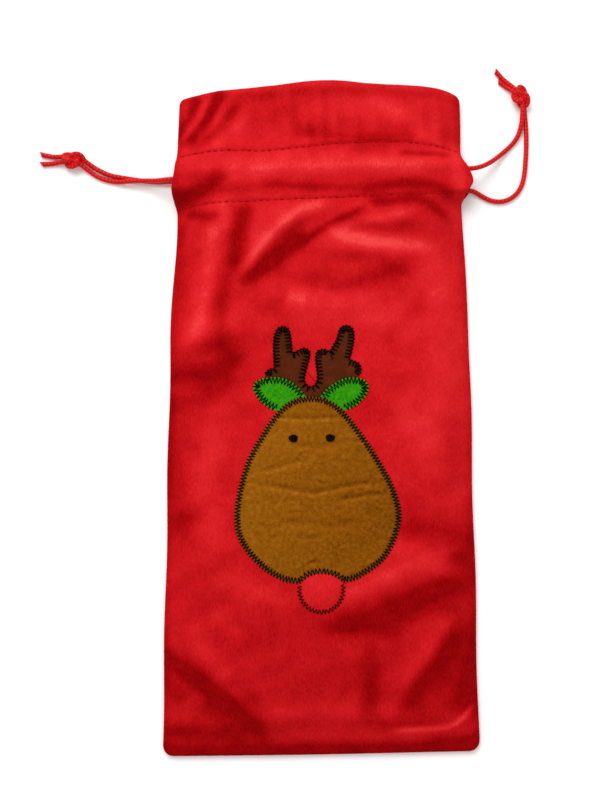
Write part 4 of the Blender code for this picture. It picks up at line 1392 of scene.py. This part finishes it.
@dataclass
class StitchRows:
    """The casing's topstitching and the seams' running stitches: short dashes of thread."""

    form: BagForm
    pitch: float = 0.0035
    dash: float = 0.0025
    radius: float = 0.00030
    reach: float = 0.975
    seam_inset: float = 0.0030
    seam_height: float = 0.00155
    samples: int = 9
    sides: int = 6

    def dashes(self, path: Array, lift: Array | tuple) -> tuple[Array, list, Array]:
        """Make dashes along a path: each rises from the cloth, lies on it and dives again.

        Args:
            path: Line on the cloth's face.
            lift: Direction away from the cloth.

        Returns:
            Vertices, faces and UV places.
        """
        total = lengths_along(path)[-1]
        count = int(total / self.pitch)
        parts = []
        shares = np.linspace(0.0, 1.0, self.samples)
        for index in range(count):
            middle = (index + 0.5) * total / count
            line = walk(path, middle + (shares - 0.5) * self.dash)
            arch = self.radius * (2.2 * np.sin(np.pi * shares) ** 0.6 - 1.4)
            line = line + arch[:, None] * np.asarray(lift)
            size = self.radius * (0.75 + 0.25 * np.sin(np.pi * shares))
            parts.append(sweep(line, size, (0, 0, 1), self.sides))
        return joined(parts)

    def build_topstitch(self, material: bpy.types.Material) -> None:
        """Build the four rows in halves.

        Args:
            material: The thread's finish.
        """
        form = self.form
        faces_up = (("front", Layer.FRONT_PANEL, (0, 0, 1)), ("back", Layer.BACK_PANEL, (0, 0, -1)))
        for face, layer, lift in faces_up:
            for row, v in (("upper", form.upper_row), ("lower", form.lower_row)):
                for side in Side:
                    u = side.value * np.linspace(0.0, self.reach, 200)
                    path = form.place(layer, u, np.full(u.shape, v))
                    if layer is Layer.BACK_PANEL:
                        path[:, 2] = np.maximum(path[:, 2], self.radius)
                    points, faces, uv = self.dashes(path, lift)
                    name = f"{face}_{row}_casing_stitches"
                    piece = make_piece(f"{name}_{side.word}", points, faces, material)
                    set_uv(piece, uv)
                    gather(piece)
                    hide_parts(name)

    def build_seams(self, material: bpy.types.Material) -> None:
        """Build the hidden running stitches of the side and bottom seams, between the panels.

        Args:
            material: The thread's finish.
        """
        form = self.form
        inset = self.seam_inset
        v = np.linspace(form.bottom + 2 * inset, form.facing_end - inset, 120)
        for side in Side:
            x = form.plan(np.full(v.shape, side.value, dtype=float), v)[0] - side.value * inset
            path = np.stack([x, v, np.full(v.shape, self.seam_height)], axis=1)
            gather(self.build_seam(f"{side.word}_seam_thread", path, material))
        x = np.linspace(2 * inset - form.half, form.half - 2 * inset, 80)
        y = form.line(form.bottom_line, x) + inset
        path = np.stack([x, y, np.full(x.shape, self.seam_height)], axis=1)
        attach(self.build_seam("bottom_seam_thread", path, material), "bag")

    def build_seam(self, node: str, path: Array, material: bpy.types.Material) -> bpy.types.Object:
        """Sew one seam, in place of its node.

        Args:
            node: The CAD node that it stands for.
            path: The seam's line.
            material: The thread's finish.

        Returns:
            The piece, which still has to ride on something.
        """
        points, faces, uv = self.dashes(path, (0, 0, 1))
        piece = make_piece(f"{node}_stitches", points, faces, material)
        set_uv(piece, uv)
        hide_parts(node)
        return piece


@dataclass(frozen=True)
class Patch:
    """A patch of the reindeer: its outline's runs in millimetres and how high its top lies.

    It is filled as a star of rings or, where its outline is too hollow for that, by triangles. It lies over
    other patches. Its tone lightens or darkens it; its lit side and shaded side add painted highlight and
    painted shade.
    """

    name: str
    runs: tuple[Line, ...]
    top: float
    slot: str
    star: bool = True
    creases: tuple[Fold, ...] = ()
    over: tuple["Patch", ...] = ()
    puff: float = 0.2
    tone: float = 0.0
    lit_side: float = 0.0
    shaded_side: float = 0.0


ANTLERS = Patch("antler_patch", (
    ((18.8, 11.8), (20.8, 15.5), (19.8, 19.5), (15.0, 21.6)),
    ((15.0, 21.6), (16.4, 27.0), (17.4, 33.5), (16.5, 38.2), (13.0, 39.6), (10.0, 37.5), (8.6, 32.5),
     (5.0, 25.8)),
    ((5.0, 25.8), (2.0, 27.1), (-1.4, 25.8), (-2.2, 21.5), (-1.3, 12.5), (-2.2, 8.8), (-4.8, 7.4),
     (-7.3, 9.0), (-7.9, 12.5), (-5.3, 23.2), (-5.6, 26.2), (-8.5, 27.5), (-14.1, 24.8)),
    ((-14.1, 24.8), (-15.0, 33.0), (-16.2, 37.8), (-19.0, 38.9), (-22.2, 37.0), (-23.7, 30.0), (-23.3, 17.0)),
    ((-23.3, 17.0), (-26.2, 16.3), (-28.2, 13.5), (-27.0, 8.5)),
    ((-27.0, 8.5), (-10.0, -3.0), (4.0, -3.0), (18.8, 11.8))), 0.55, "dark_brown_velvet", star=False)
LEFT_EAR = Patch("left_ear_patch", (
    ((-6.2, 0.9), (-11.0, 7.0), (-17.0, 11.2), (-24.0, 12.4), (-30.5, 11.4), (-34.0, 8.0), (-32.0, 2.0),
     (-27.2, -2.8), (-20.5, -6.0)), ((-20.5, -6.0), (-6.2, 0.9))), 0.55, "green_felt",
    over=(ANTLERS,))
RIGHT_EAR = Patch("right_ear_patch", (
    ((12.5, -5.0), (17.8, -2.7), (22.4, 1.6), (24.7, 7.0), (22.2, 11.2), (16.5, 12.2), (11.0, 11.2),
     (4.0, 6.8), (-0.1, 1.9)), ((-0.1, 1.9), (12.5, -5.0))), 0.55, "green_felt", over=(ANTLERS,))
HEAD = Patch("head_patch", (
    ((11.5, -91.5), (20.0, -88.7), (33.0, -78.5), (40.0, -61.0), (37.5, -45.5), (28.5, -28.0), (17.0, -11.0),
     (8.0, -1.8), (-1.5, 2.0), (-13.0, 0.8), (-22.0, -5.8), (-30.0, -17.5), (-37.5, -32.0), (-42.5, -53.0),
     (-41.0, -69.5), (-31.0, -82.8), (-19.5, -90.2), (-10.2, -92.0)),
    ((-10.2, -92.0), (-6.2, -88.6), (0.5, -87.2), (7.2, -88.6), (11.5, -91.5))), 0.60, "brown_velvet",
    creases=HEAD_CREASES + crinkles(34, 5), over=(ANTLERS, LEFT_EAR, RIGHT_EAR),
    lit_side=0.12, shaded_side=0.14)
NOSE_CENTRE = np.array([0.3, -95.0])
NOSE_RADIUS = 11.2


def circle(turn: Array, centre: Array, radius: float) -> Array:
    """Places on a circle at given angles."""
    return centre + radius * np.stack([np.cos(turn), np.sin(turn)], axis=1)


NOSE = Patch("nose_patch", (closed_path(circle(round_turn(24), NOSE_CENTRE, NOSE_RADIUS)),), 0.35,
             "red_velvet", tone=0.08)


@dataclass(frozen=True)
class Sewing:
    """A zigzag stitch: its width, how far in its middle lies, its pitch and its thread's radius.

    The spread is the share of each pitch that the swing takes up: 1 for an even zigzag, less for bars
    that stand square to the edge and are joined by a line along it.
    """

    swing: float
    inset: float
    pitch: float = 0.00185
    thread: float = 0.00030
    spread: float = 1.0
    samples: int = 14
    jitter: float = 0.12


@dataclass
class Reindeer:
    """The reindeer: patches, the zigzag thread over their edges, eyes, and loose thread ends."""

    form: BagForm
    step: float = 0.0007
    head_sewing: Sewing = Sewing(0.0032, 0.0013, pitch=0.00172, thread=0.00025)
    ear_sewing: Sewing = Sewing(0.0038, 0.0016, pitch=0.0020, thread=0.00024)
    antler_sewing: Sewing = Sewing(0.0033, 0.0013, pitch=0.0018, spread=0.30)
    nose_sewing: Sewing = Sewing(0.0023, 0.0004, pitch=0.0019, thread=0.00022)
    cut_edge: float = 0.22
    pressed: float = 0.18
    pressed_at: float = 1.3
    pressed_half: float = 0.8
    sunk: float = 0.10
    fold_share: float = 0.6
    painted_shading_reach: float = 0.55
    painted_shading_gain: float = 1.5
    rim_shade: float = 0.10
    rim_width: float = 0.5
    ring_depths: tuple[float, ...] = (0.0, 0.15, 0.35, 0.6, 0.95, 1.4, 1.9)
    eye_half: tuple[float, float] = (2.35, 1.95)
    eye_dome: float = 0.45
    eye_base: float = 1.25
    eye_ridge: float = 0.07
    eye_thread: float = 0.42
    black: bpy.types.Material = field(default_factory=BLACK_THREAD.material)

    def patch_height(self, patch: Patch, inside: Array) -> Array:
        """Height of a patch over what it lies on, by distance in from its outline.

        It steps up at its cut edge, is pressed down under the stitches and puffs up behind them.

        Args:
            patch: The patch.
            inside: Distance in from its outline.

        Returns:
            The height in metres.
        """
        rise = 1.0 - np.exp(-np.maximum(inside, 0.0) / (self.cut_edge * MM))
        puff = patch.puff * ramp(1.5 * MM, 5.0 * MM, inside)
        pressed = -self.pressed * np.exp(-((inside - self.pressed_at * MM) / (self.pressed_half * MM)) ** 2)
        return (patch.top * rise + puff + pressed - self.sunk) * MM

    def under(self, patch: Patch, x: Array, y: Array) -> Array:
        """Height of the patches that lie under a patch, at places on the bag.

        Args:
            patch: The patch.
            x: Places' X, in metres.
            y: Places' Y, in metres.

        Returns:
            The height in metres.
        """
        total = np.zeros(x.shape)
        spots = np.stack([x, y], axis=1)
        for lower in patch.over:
            loop = even_loop(outline_of(lower.runs), 1.5 * MM)
            depth = distance_to(x, y, closed_path(loop))[0] * inside_loop(spots, loop)
            height = self.under(lower, x, y) + self.patch_height(lower, depth)
            total = np.maximum(total, np.where(depth > 0.0, height, 0.0))
        return total

    def build_patch(self, patch: Patch, material: bpy.types.Material) -> bpy.types.Object:
        """Build a patch as rings that follow its outline inwards and then close on its middle.

        Args:
            patch: The patch.
            material: Its finish.

        Returns:
            The piece.
        """
        loop = anticlockwise(even_loop(outline_of(patch.runs), self.step))
        inward = left_normals(loop, True)
        depths = np.array(self.ring_depths) * MM
        rings = [loop + inward * depth for depth in depths]
        insides = [np.full(len(loop), depth) for depth in depths]
        if patch.star:
            centre = loop.mean(axis=0)
            reach = np.linalg.norm(rings[-1] - centre, axis=1)
            for share in np.linspace(1.0, 0.0, max(6, round(reach.mean() / self.step)))[1:-1]:
                rings.append(centre + (rings[len(depths) - 1] - centre) * share)
                insides.append(depths[-1] + reach * (1.0 - share))
        count = len(loop)
        faces = grid_faces(len(rings), count, wrap=True).tolist()
        last = (len(rings) - 1) * count
        if patch.star:
            faces.append(list(range(last, last + count)))
        else:
            spots, fills = filled(rings[-1], 1.2 * MM)
            near = distance_to(spots[:, 0], spots[:, 1], closed_path(loop))[0]
            rings.append(spots)
            insides.append(near)
            faces += [[last + corner for corner in face] for face in fills]
        flat, inside = np.concatenate(rings), np.concatenate(insides)
        x, y = flat[:, 0], flat[:, 1]
        lift = self.patch_height(patch, inside)
        crease = sum((fold.rise(x, y) for fold in patch.creases), np.zeros(len(x)))
        lift = lift + crease * ramp(0.8 * MM, 3.0 * MM, inside)
        z = self.form.surface(x, y) + self.under(patch, x, y) + lift
        points = np.stack([x, y, z], axis=1)
        floor = points[:count].copy()
        floor[:, 2] -= 0.15 * MM
        faces += [[len(points) + i, len(points) + (i + 1) % count, (i + 1) % count, i] for i in range(count)]
        faces.append([len(points) + i for i in reversed(range(count))])
        points = np.vstack([points, floor])
        piece = make_piece(patch.name + "_cloth", points, faces, material, 70.0)
        nap = self.patch_nap(patch, points, np.concatenate([inside, np.zeros(count)]))
        set_values(piece, "nap", nap)
        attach(piece, "bag")
        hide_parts(patch.name)
        return piece

    def patch_nap(self, patch: Patch, points: Array, inside: Array) -> Array:
        """Painted shading of a patch: painted highlight and painted shade from the slope of its creases and
        the cloth's folds under it towards the light, and painted shade along its cut edge.

        Args:
            patch: The patch.
            points: The patch's vertices.
            inside: Their distances in from its outline.

        Returns:
            The painted shading, about 0 to 1.
        """
        x, y = points[:, 0], points[:, 1]
        step = self.form.painted_shading_step

        def height(px: Array, py: Array) -> Array:
            creases = sum((fold.rise(px, py) for fold in patch.creases), np.zeros(len(px)))
            return self.form.folds(px, py) * self.fold_share + creases

        slope = -((height(x + step, y) - height(x - step, y)) * LIGHT[0]
                  + (height(x, y + step) - height(x, y - step)) * LIGHT[1]) / (2 * step)
        # Painted shade along the patch's cut edge.
        rim = self.rim_shade * np.exp(-inside / (self.rim_width * MM))
        shade = 0.5 + self.painted_shading_reach * np.tanh(self.painted_shading_gain * slope) - rim
        # Painted highlight on the patch's upper left side and painted shade on its lower right; the tone
        # lightens or darkens the whole patch.
        up = y + 0.045
        shade += patch.tone + patch.lit_side * ramp(0.03, -0.06, x - 0.4 * up)
        return shade - patch.shaded_side * ramp(-0.02, 0.07, x - 0.7 * up)

    def zigzag(self, name: str, path: Array, patch: Patch, sewing: Sewing, closed: bool = False,
               keep: Array | None = None) -> None:
        """Sew along an outline: the thread swings in and out and dips at each needle hole.

        Args:
            name: The piece's name.
            path: The outline, with the patch on its left.
            patch: The patch whose edge it covers.
            sewing: The stitch's sizes.
            closed: Whether it runs all the way round.
            keep: For each place of the path, whether the thread runs there.
        """
        loop = closed_path(path) if closed else path
        normals = left_normals(path, closed)
        normals = closed_path(normals) if closed else normals
        reached = lengths_along(loop)
        count = round(reached[-1] / sewing.pitch)
        t = np.arange(count * sewing.samples + 1) / sewing.samples
        phase = t % 1.0
        wave = 1.0 - np.abs(2.0 * phase - 1.0)
        drift = np.random.default_rng(count).uniform(-sewing.jitter, sewing.jitter, count + 2)
        jitter = drift[np.floor(t).astype(int)] * wave
        step = np.floor(t) + sewing.spread * phase + (1.0 - sewing.spread) * ramp(0.80, 1.0, phase)
        along = np.clip(reached[-1] * (step + jitter) / count, 0.0, reached[-1])
        spot = walk(loop, along)
        normal = np.stack([np.interp(along, reached, normals[:, axis]) for axis in range(2)], axis=1)
        wave = np.clip(1.25 * wave - 0.12, 0.0, 1.0) if sewing.spread < 1.0 else wave
        inside = sewing.inset + (wave - 0.5) * sewing.swing
        flat = spot + normal * inside[:, None]
        x, y = flat[:, 0], flat[:, 1]
        lift = np.maximum(self.patch_height(patch, inside), 0.0)
        z = self.form.surface(x, y) + self.under(patch, x, y) + lift
        z = z + sewing.thread * (0.25 + 0.8 * np.sin(np.pi * ((2.0 * phase) % 1.0)))
        line = np.concatenate([flat, z[:, None]], axis=1)
        here = np.ones(len(line), dtype=bool)
        if keep is not None:
            here = np.interp(along, reached[:len(keep)], keep.astype(float)) > 0.5
        runs = np.split(np.arange(len(line)), np.flatnonzero(np.diff(here.astype(int))) + 1)
        parts = [sweep(line[run], sewing.thread, (0, 0, 1), 6) for run in runs
                 if here[run[0]] and len(run) > sewing.samples]
        points, faces, uv = joined(parts)
        piece = make_piece(name + "_thread", points, faces, self.black)
        set_uv(piece, uv)
        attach(piece, "bag")
        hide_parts(name)

    def build_eye(self, side: Side) -> None:
        """Build an eye of satin stitch: a low dome ridged by its parallel threads.

        Args:
            side: Which eye.
        """
        name = f"{side.word}_eye"
        low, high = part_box(name)
        centre_x, centre_y = (low[0] + high[0]) / 2, (low[1] + high[1]) / 2
        rings, sides = 12, 40
        share = np.linspace(1.0, 0.04, rings)[:, None]
        turn = round_turn(sides)[None, :]
        wobble = 1.0 + 0.05 * np.sin(3 * turn + side.value) + 0.03 * np.sin(5 * turn)
        x = centre_x + self.eye_half[0] * MM * share * np.cos(turn) * wobble
        y = centre_y + self.eye_half[1] * MM * share * np.sin(turn) * wobble
        ridge = self.eye_ridge * MM * np.abs(np.cos(np.pi * (x - centre_x) / (self.eye_thread * MM)))
        dome = self.eye_dome * MM * np.sqrt(1.0 - share ** 2)
        z = self.form.surface(x, y) + self.eye_base * MM + dome + ridge * (1.0 - share ** 4)
        z[0] -= 0.3 * MM
        points = np.stack([x, y, z], axis=-1).reshape(-1, 3)
        faces = grid_faces(rings, sides, wrap=True).tolist()
        faces.append(list(range((rings - 1) * sides, rings * sides)))
        faces.append(list(reversed(range(sides))))
        piece = make_piece(f"{name}_stitching", points, faces, EYE_THREAD.material(), 80.0)
        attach(piece, "bag")
        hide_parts(name)

    def build_loose_threads(self) -> None:
        """Lay the thread ends that jump between the antlers, and one stray bar."""
        red = RED_THREAD.material()
        jump = (red, "red_thread", 0.25, 0.13 * MM)
        bar = (self.black, "black_thread", 1.05, self.head_sewing.thread)
        for name, points, (material, slot, over, radius) in (
                ("upper_jump_thread", ((-15.2, 31.5), (-13.2, 27.8), (-11.0, 24.8)), jump),
                ("lower_jump_thread", ((-7.6, 16.2), (-4.6, 12.6), (-1.6, 9.4)), jump),
                ("stray_stitch", ((5.4, 26.4), (5.8, 23.8), (6.3, 21.4)), bar)):
            flat = smooth_curve(points, 0.4) * MM
            z = self.form.surface(flat[:, 0], flat[:, 1]) + over * MM
            vertices, faces, uv = sweep(np.concatenate([flat, z[:, None]], axis=1), radius, (0, 0, 1), 6)
            piece = make_piece(name, vertices, faces, material)
            set_uv(piece, uv)
            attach(piece, "bag")

    def build_all(self) -> None:
        """Build the patches from the bottom up, then the thread over them."""
        green = GREEN_FELT.material()
        self.build_patch(NOSE, RED_VELVET.material())
        self.build_patch(ANTLERS, DARK_BROWN_VELVET.material())
        self.build_patch(LEFT_EAR, green)
        self.build_patch(RIGHT_EAR, green)
        self.build_patch(HEAD, BROWN_VELVET.material())
        head = anticlockwise(even_loop(outline_of(HEAD.runs), self.step))
        closed_head = closed_path(head)
        self.zigzag("head_zigzag", head, HEAD, self.head_sewing, closed=True)
        ears = []
        for ear in (LEFT_EAR, RIGHT_EAR):
            path = smooth_curve(ear.runs[0], 0.7) * MM
            ears.append(path)
            clear = distance_to(path[:, 0], path[:, 1], closed_head)[0] > 0.8 * MM
            self.zigzag(ear.name.replace("patch", "zigzag"), path, ear, self.ear_sewing, keep=clear)
        path = np.vstack([smooth_curve(run, 0.7)[:-1] for run in ANTLERS.runs[:-1]]) * MM
        clear = np.ones(len(path), dtype=bool)
        for ear in ears:
            clear &= distance_to(path[:, 0], path[:, 1], ear)[0] > 1.2 * MM
        self.zigzag("antler_zigzag", path, ANTLERS, self.antler_sewing, keep=clear)
        arc = circle(np.radians(np.linspace(-205.0, 25.0, 120)), NOSE_CENTRE, NOSE_RADIUS) * MM
        clear = (distance_to(arc[:, 0], arc[:, 1], closed_head)[0] > 0.9 * MM) & ~inside_loop(arc, head)
        self.zigzag("nose_zigzag", arc, NOSE, self.nose_sewing, keep=clear)
        for side in Side:
            self.build_eye(side)
        self.build_loose_threads()


# ---- Drawcords -----------------------------------------------------------------------------

@dataclass(frozen=True)
class Knot:
    """A tight overhand knot in both ends of a cord: where its middle is, and how its tails leave it."""

    out: float
    step: float
    heading: tuple[float, float]
    ring: float = 0.0023
    swing: float = 0.0015
    height: float = 0.0018
    stretch: tuple[float, float] = (1.22, 0.86)
    opening: float = 0.25
    phase: float = 0.9
    apart: float = 0.0009
    strand: float = 0.00118


@dataclass
class Drawcord:
    """One satin cord: two free strands, its loop inside the casing, a knot and two cut tails.

    Strand and tail points are: distance out from the side, distance along the bag from the casing's
    middle line, and height, in metres. A height of None is a cord lying on the table.
    """

    side: Side
    form: BagForm
    runs: tuple[float, float]
    strands: dict[str, Line]
    knot: Knot
    tails: tuple[Line, Line]
    satin: bpy.types.Material
    middle: float = 0.12
    diameter: float = 0.0025
    front_z: float = 0.0117
    back_z: float = 0.0025
    knot_z: float = 0.0037
    facets: int = 16
    run_points: int = 13
    turn_steps: int = 6

    def at(self, points: Line) -> Array:
        """Places of strand points in the bag's frame.

        Args:
            points: Distance out, distance along the bag, and height or None.

        Returns:
            One row of X, Y and Z for each point.
        """
        lying = self.diameter / 2 + 0.0001
        return np.array([(self.side.value * (self.form.exit_x + out), self.middle + step,
                          lying if z is None else z) for out, step, z in points])

    def route(self) -> tuple[Array, int, int]:
        """Whole route from knot to knot, with the numbers of the points at the two slits.

        Returns:
            The points, and the numbers of the first and last one inside the slits.
        """
        sign = self.side.value
        front_y, back_y = self.middle + self.runs[0], self.middle + self.runs[1]
        edge, turn_x = self.form.exit_x - 0.004, self.form.turn_x()
        across = np.linspace(edge, -turn_x, self.run_points)
        front = self.at(self.strands["front"])[::-1]
        level = np.ones(self.run_points)
        over = np.stack([sign * across, front_y * level, self.front_z * level], axis=1)
        share = np.arange(1, self.turn_steps) / self.turn_steps
        bend = np.pi * share
        radius = (self.front_z - self.back_z) / 2
        loop = np.stack([-sign * (turn_x + radius * np.sin(bend)), front_y + (back_y - front_y) * share,
                         (self.front_z + self.back_z) / 2 + radius * np.cos(bend)], axis=1)
        under = np.stack([sign * across[::-1], back_y * level, self.back_z * level], axis=1)
        back = self.at(self.strands["back"])
        points = np.vstack([front, over, loop, under, back])
        curve = smooth_curve(points, 0.0007)
        inside = np.abs(curve[:, 0]) < self.form.exit_x
        first, last = np.flatnonzero(inside)[[0, -1]]
        return curve, int(first), int(last)

    def add(self, name: str, part: tuple[Array, list, Array], node: str) -> bpy.types.Object:
        """Make a piece of cord that moves with this drawcord.

        Args:
            name: The piece's name.
            part: Its vertices, faces and UV places.
            node: The CAD node that it stands for.

        Returns:
            The piece.
        """
        piece = make_piece(name, part[0], part[1], self.satin)
        set_uv(piece, part[2])
        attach(piece, f"{self.side.word}_cord")
        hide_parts(node)
        return piece

    def build(self) -> None:
        """Build the strands, the hidden loop, the knot and the tails."""
        word = self.side.word
        curve, first, last = self.route()
        radius = self.diameter / 2
        self.add(f"{word}_cord_casing_run", sweep(curve[first:last + 1], radius, (0, 1, 0), self.facets),
                 f"{word}_drawcord")
        knot = self.add(f"{word}_knot_wraps", self.knot_shape(), f"{word}_knot")
        ends = [self.add(f"{word}_cord_tail_{end}", self.tail_shape(tail), f"{word}_knot")
                for end, tail in zip(("upper", "lower"), self.tails)]
        for strand, path in (("front", curve[:first + 1][::-1]), ("back", curve[last:])):
            piece = self.add(f"{word}_cord_{strand}_strand", sweep(path, radius, (0, 0, 1), self.facets),
                             f"{word}_drawcord")
        LOG.info("%s cord: %.0f mm in the casing", word, 1000 * lengths_along(curve[first:last + 1])[-1])

    def knot_shape(self) -> tuple[Array, list, Array]:
        """Both ends side by side along an overhand knot.

        The knot goes twice round a ring while it swings in, out, up and down one and a half times a turn.

        Returns:
            Vertices, faces and UV places.
        """
        knot = self.knot
        centre = self.at(((knot.out, knot.step, self.knot_z),))[0]
        axis = np.array([self.side.value * knot.heading[0], knot.heading[1], 0.0])
        axis /= np.linalg.norm(axis)
        across, up = np.array([-axis[1], axis[0], 0.0]), np.array([0.0, 0.0, 1.0])
        turn = np.linspace(-0.5 * np.pi + knot.opening, 3.5 * np.pi - knot.opening, 200)[:, None]
        swing = 1.5 * turn + knot.phase
        parts = []
        for apart in (-knot.apart, knot.apart):
            reach = knot.ring + apart * np.cos(swing * 0.5) + knot.swing * np.cos(swing)
            path = (centre + axis * knot.stretch[0] * reach * np.cos(turn)
                    + across * knot.stretch[1] * reach * np.sin(turn)
                    + up * (knot.height * np.sin(swing) + 0.5 * apart * np.sin(swing * 0.5)))
            parts.append(sweep(path, knot.strand, (0, 0, 1), self.facets))
        return joined(parts)

    def tail_shape(self, points: Line) -> tuple[Array, list, Array]:
        """A short end that leaves the knot, drops to the table and is cut at a slant.

        Args:
            points: Distance out and distance along the bag of each point.

        Returns:
            Vertices, faces and UV places.
        """
        heights = (self.knot_z, 0.0026, None, None)
        path = smooth_curve(self.at(tuple((*spot, z) for spot, z in zip(points, heights))), 0.0006)
        share = np.linspace(0.0, 1.0, len(path))
        size = self.diameter / 2 * (1.0 + 0.10 * ramp(0.8, 1.0, share))
        return sweep(path, size, (0, 0, 1), self.facets, (0.0, 0.9))


LEFT_STRANDS = {
    "front": ((0.003, -0.0016, 0.0109), (0.009, -0.0010, 0.0076), (0.015, -0.0001, 0.0050),
              (0.0205, 0.0002, 0.0041), (0.0255, 0.0002, 0.0031), (0.029, 0.0003, 0.0022),
              (0.033, 0.0008, None), (0.037, 0.0017, None), (0.041, 0.0034, None), (0.0455, 0.0064, None),
              (0.0520, 0.0112, 0.0037)),
    "back": ((0.003, 0.0004, 0.0023), (0.009, 0.0004, 0.0016), (0.015, 0.0009, None), (0.022, 0.0019, None),
             (0.028, 0.0029, None), (0.034, 0.0041, None), (0.039, 0.0062, None), (0.0445, 0.0095, None),
             (0.0515, 0.0145, 0.0037)),
}
RIGHT_STRANDS = {
    "front": ((0.0035, 0.0046, 0.0108), (0.0095, 0.0070, 0.0080), (0.0150, 0.0109, 0.0048),
              (0.0200, 0.0154, 0.0024), (0.0245, 0.0197, None), (0.0278, 0.0234, None),
              (0.0300, 0.0272, 0.0017), (0.0313, 0.0315, 0.0026), (0.0320, 0.0360, 0.0034),
              (0.0324, 0.0450, 0.0048)),
    "back": ((0.0032, -0.0047, 0.0022), (0.0062, -0.0054, 0.0016), (0.0095, -0.0074, None),
             (0.0134, -0.0095, None), (0.0173, -0.0104, None), (0.0213, -0.0101, None),
             (0.0253, -0.0083, None), (0.0286, -0.0052, None), (0.0310, -0.0009, None),
             (0.0325, 0.0050, None), (0.0333, 0.0116, None), (0.0339, 0.0189, None),
             (0.0342, 0.0270, None), (0.0341, 0.0330, None), (0.0338, 0.0385, 0.0015),
             (0.0334, 0.0450, 0.0022)),
}
LEFT_TAILS = (((0.0555, 0.0134), (0.0601, 0.0142), (0.0655, 0.0147), (0.0718, 0.0159)),
              ((0.0555, 0.0112), (0.0600, 0.0113), (0.0655, 0.0108), (0.0713, 0.0104)))
RIGHT_TAILS = (((0.0310, 0.0500), (0.0273, 0.0541), (0.0230, 0.0586), (0.0187, 0.0636)),
               ((0.0302, 0.0490), (0.0270, 0.0520), (0.0238, 0.0547), (0.0203, 0.0578)))


def build_drawcords(form: BagForm) -> None:
    """Build both drawcords.

    Args:
        form: The bag's shape.
    """
    satin = SatinCord().material()
    Drawcord(Side.LEFT, form, (-0.0015, 0.0005), LEFT_STRANDS, Knot(0.0542, 0.0121, (1.0, 0.12)),
             LEFT_TAILS, satin).build()
    Drawcord(Side.RIGHT, form, (0.0045, -0.0050), RIGHT_STRANDS, Knot(0.0317, 0.0478, (-0.25, 1.0)),
             RIGHT_TAILS, satin).build()


# ---- Studio --------------------------------------------------------------------------------

@dataclass
class Studio:
    """Camera, lights and floor."""

    aim: tuple[float, float, float] = (-0.01024, 0.00271, 0.0)
    distance: float = 0.6875
    tilt: float = 11.14
    lens: float = 60.0
    sensor: float = 36.0
    room: float = 0.78
    lamp_place: tuple[float, float, float] = (-0.30, 0.75, 0.95)
    lamp_size: float = 0.9
    lamp_watts: float = 9.0
    floor: float = 3.0

    def build_camera(self) -> None:
        """Place the camera over the bag, leaning back towards its bottom end."""
        camera = bpy.data.objects.new("camera", bpy.data.cameras.new("camera"))
        camera.data.lens = self.lens
        camera.data.sensor_width = self.sensor
        lean = np.radians(self.tilt)
        camera.location = Vector(self.aim) + self.distance * Vector((0.0, -np.sin(lean), np.cos(lean)))
        camera.rotation_euler = (lean, 0.0, 0.0)
        bpy.context.collection.objects.link(camera)
        bpy.context.scene.camera = camera

    def build_light(self) -> None:
        """Light the bag with a pale room and one broad lamp beyond its mouth."""
        world = bpy.data.worlds.new("studio")
        world.use_nodes = True
        glow = world.node_tree.nodes["Background"].inputs
        glow["Color"].default_value = linear("#ffffff")
        glow["Strength"].default_value = self.room
        bpy.context.scene.world = world
        lamp = bpy.data.objects.new("softbox", bpy.data.lights.new("softbox", "AREA"))
        lamp.data.shape = "DISK"
        lamp.data.size = self.lamp_size
        lamp.data.energy = self.lamp_watts
        lamp.location = self.lamp_place
        lamp.rotation_euler = (-lamp.location).to_track_quat("-Z", "Y").to_euler()
        bpy.context.collection.objects.link(lamp)
        bpy.context.scene.view_settings.view_transform = "Standard"

    def build_floor(self) -> None:
        """Lay a plain white sheet under the bag."""
        material, _ = start_material("matt white paper", base_color=linear("#ffffff"), roughness=0.9,
                                     specular_ior_level=0.1)
        half = self.floor / 2
        points = np.array([(-half, -half, 0.0), (half, -half, 0.0), (half, half, 0.0), (-half, half, 0.0)])
        make_piece("floor", points, [[0, 1, 2, 3]], material)


def main() -> None:
    """Build the camera, the cords, the cloths, the sewing and the reindeer in order."""
    logging.basicConfig(level=logging.INFO, format="%(name)s %(message)s")
    form = BagForm.from_frame()
    studio = Studio()
    studio.build_camera()
    build_drawcords(form)
    Cloths(form).build_all()
    stitches = StitchRows(form)
    red = RED_THREAD.material()
    stitches.build_topstitch(red)
    stitches.build_seams(red)
    Reindeer(form).build_all()
    studio.build_light()
    studio.build_floor()


if __name__ == "__main__":
    main()
